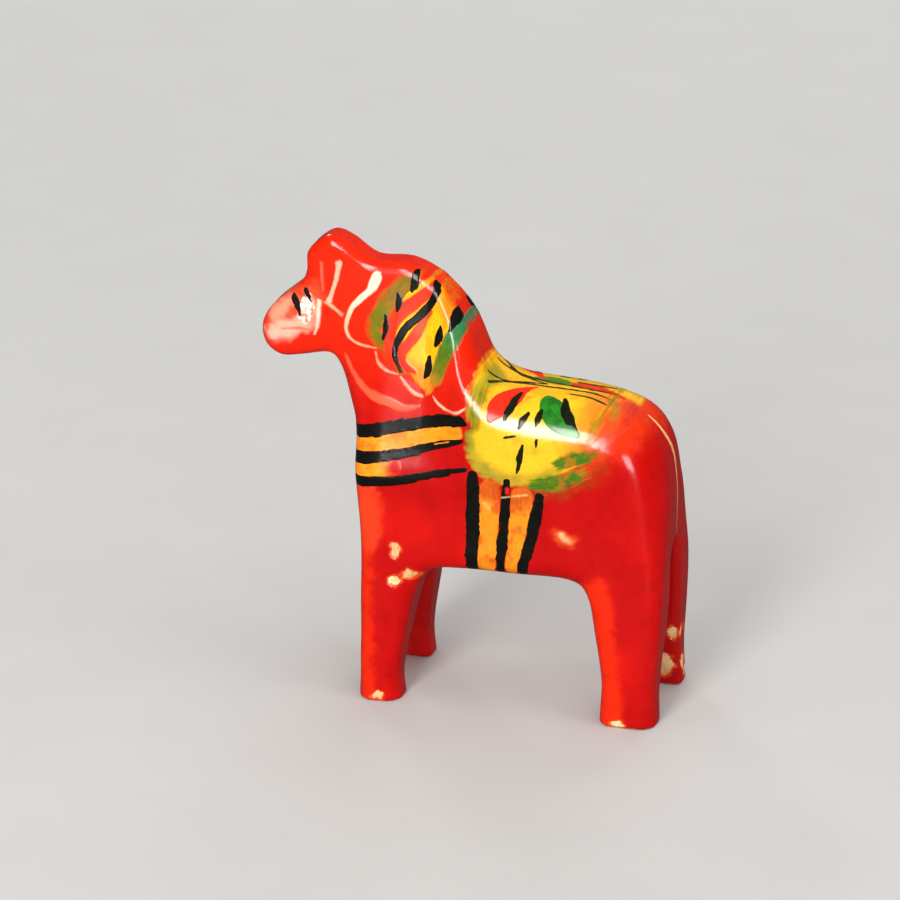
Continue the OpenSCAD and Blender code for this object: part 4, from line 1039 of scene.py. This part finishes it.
# ---- Studio, in metres ----
# Each soft lamp: name, direction from the horse, distance, width and height, power in watts, and
# whether the varnish mirrors it. "key" draws the bright lines on the saddle and down the neck.
LAMPS = [
    ("key", (0.87, -0.1, 0.43), 1.3, (0.32, 0.9), 13.5, True),
    ("side", (0.84, 0.55, 0.12), 1.4, (0.42, 0.36), 5, True),
    ("front", (0.55, -0.85, 0.1), 1.3, (0.7, 0.45), 2.6, False),
    ("rear", (0.2, 0.9, 0.5), 1.5, (0.8, 0.8), 3.5, False),
    ("far", (-0.9, 0.1, 0.5), 1.5, (0.8, 0.8), 6, False),
    ("far_key", (-0.7, -0.5, 0.5), 1.5, (0.24, 0.24), 2.4, True),
]
LAMPS_FACE = Vector((0, 0, 0.05))  # the point that they all face
SKY_POWER, SKY_SPREAD = 2, math.radians(100)
ROOM_DIM, ROOM_SEEN = 0.06, 0.55  # the room's brightness as light, and as the camera sees it
CAMERA_ROUND, CAMERA_ABOVE = math.radians(15.7), math.radians(21.1)  # from the left flank's normal
CAMERA_DISTANCE, CAMERA_LENS = 1.16, 217
CAMERA_AIM = Vector((0, -0.0044, 0.0529))


def floor():
    """A plain pale floor, which the varnish doesn't mirror."""
    bpy.ops.mesh.primitive_grid_add(x_subdivisions=8, y_subdivisions=8, size=8)
    made = bpy.context.object
    made.name = "floor"
    t = Tree("pale_floor")
    where = t.add("TexCoord").outputs["Object"]
    tone = t.mixed(t.noise(where, 40.0), srgb(190, 189, 186), srgb(196, 195, 192))
    t.shade(Base_Color=tone, Roughness=0.7)
    made.data.materials.append(t.material)
    made.visible_glossy = False


def lamp(name, direction, distance, size, power, mirrored):
    """A rectangular soft lamp that faces the horse."""
    data = bpy.data.lights.new(name, "AREA")
    data.shape = "RECTANGLE"
    data.size, data.size_y = size
    data.energy = power
    made = placed(name, data)
    way = Vector(direction).normalized()
    made.location = LAMPS_FACE + way * distance
    made.rotation_mode = "QUATERNION"
    made.rotation_quaternion = way.to_track_quat("Z", "Y")
    made.visible_glossy = mirrored


def sky_light():
    """Even soft light from above, which keeps the floor pale all the way out."""
    data = bpy.data.lights.new("sky", "SUN")
    data.energy = SKY_POWER
    data.angle = SKY_SPREAD
    made = placed("sky", data)
    made.rotation_euler = (math.radians(-18), math.radians(6), 0)
    made.visible_glossy = False


def room():
    """A pale room behind the floor, dim enough not to veil the varnish with its reflection."""
    world = bpy.data.worlds.new("room")
    world.use_nodes = True
    nodes, links = world.node_tree.nodes, world.node_tree.links
    dim = nodes["Background"]
    dim.inputs["Color"].default_value = (0.95, 0.97, 1, 1)
    dim.inputs["Strength"].default_value = ROOM_DIM
    pale = nodes.new("ShaderNodeBackground")
    pale.inputs["Color"].default_value = (0.98, 0.98, 0.97, 1)
    pale.inputs["Strength"].default_value = ROOM_SEEN
    either = nodes.new("ShaderNodeMixShader")
    links.new(nodes.new("ShaderNodeLightPath").outputs["Is Camera Ray"], either.inputs[0])
    links.new(dim.outputs[0], either.inputs[1])
    links.new(pale.outputs[0], either.inputs[2])
    links.new(either.outputs[0], nodes["World Output"].inputs["Surface"])
    bpy.context.scene.world = world


def studio():
    """Floor, room and lights."""
    floor()
    room()
    sky_light()
    for numbers in LAMPS:
        lamp(*numbers)
    bpy.context.scene.view_settings.view_transform = "Standard"


def camera():
    """A long lens, a little behind the left flank and above it."""
    back = Vector((
        math.cos(CAMERA_ROUND) * math.cos(CAMERA_ABOVE),
        math.sin(CAMERA_ROUND) * math.cos(CAMERA_ABOVE),
        math.sin(CAMERA_ABOVE),
    ))
    data = bpy.data.cameras.new("camera")
    data.lens, data.sensor_width = CAMERA_LENS, 36
    data.clip_start, data.clip_end = 0.1, 20
    made = placed("camera", data)
    made.location = CAMERA_AIM + back * CAMERA_DISTANCE
    made.rotation_mode = "QUATERNION"
    made.rotation_quaternion = back.to_track_quat("Z", "Y")
    bpy.context.scene.camera = made


camera()
build_horse()
studio()
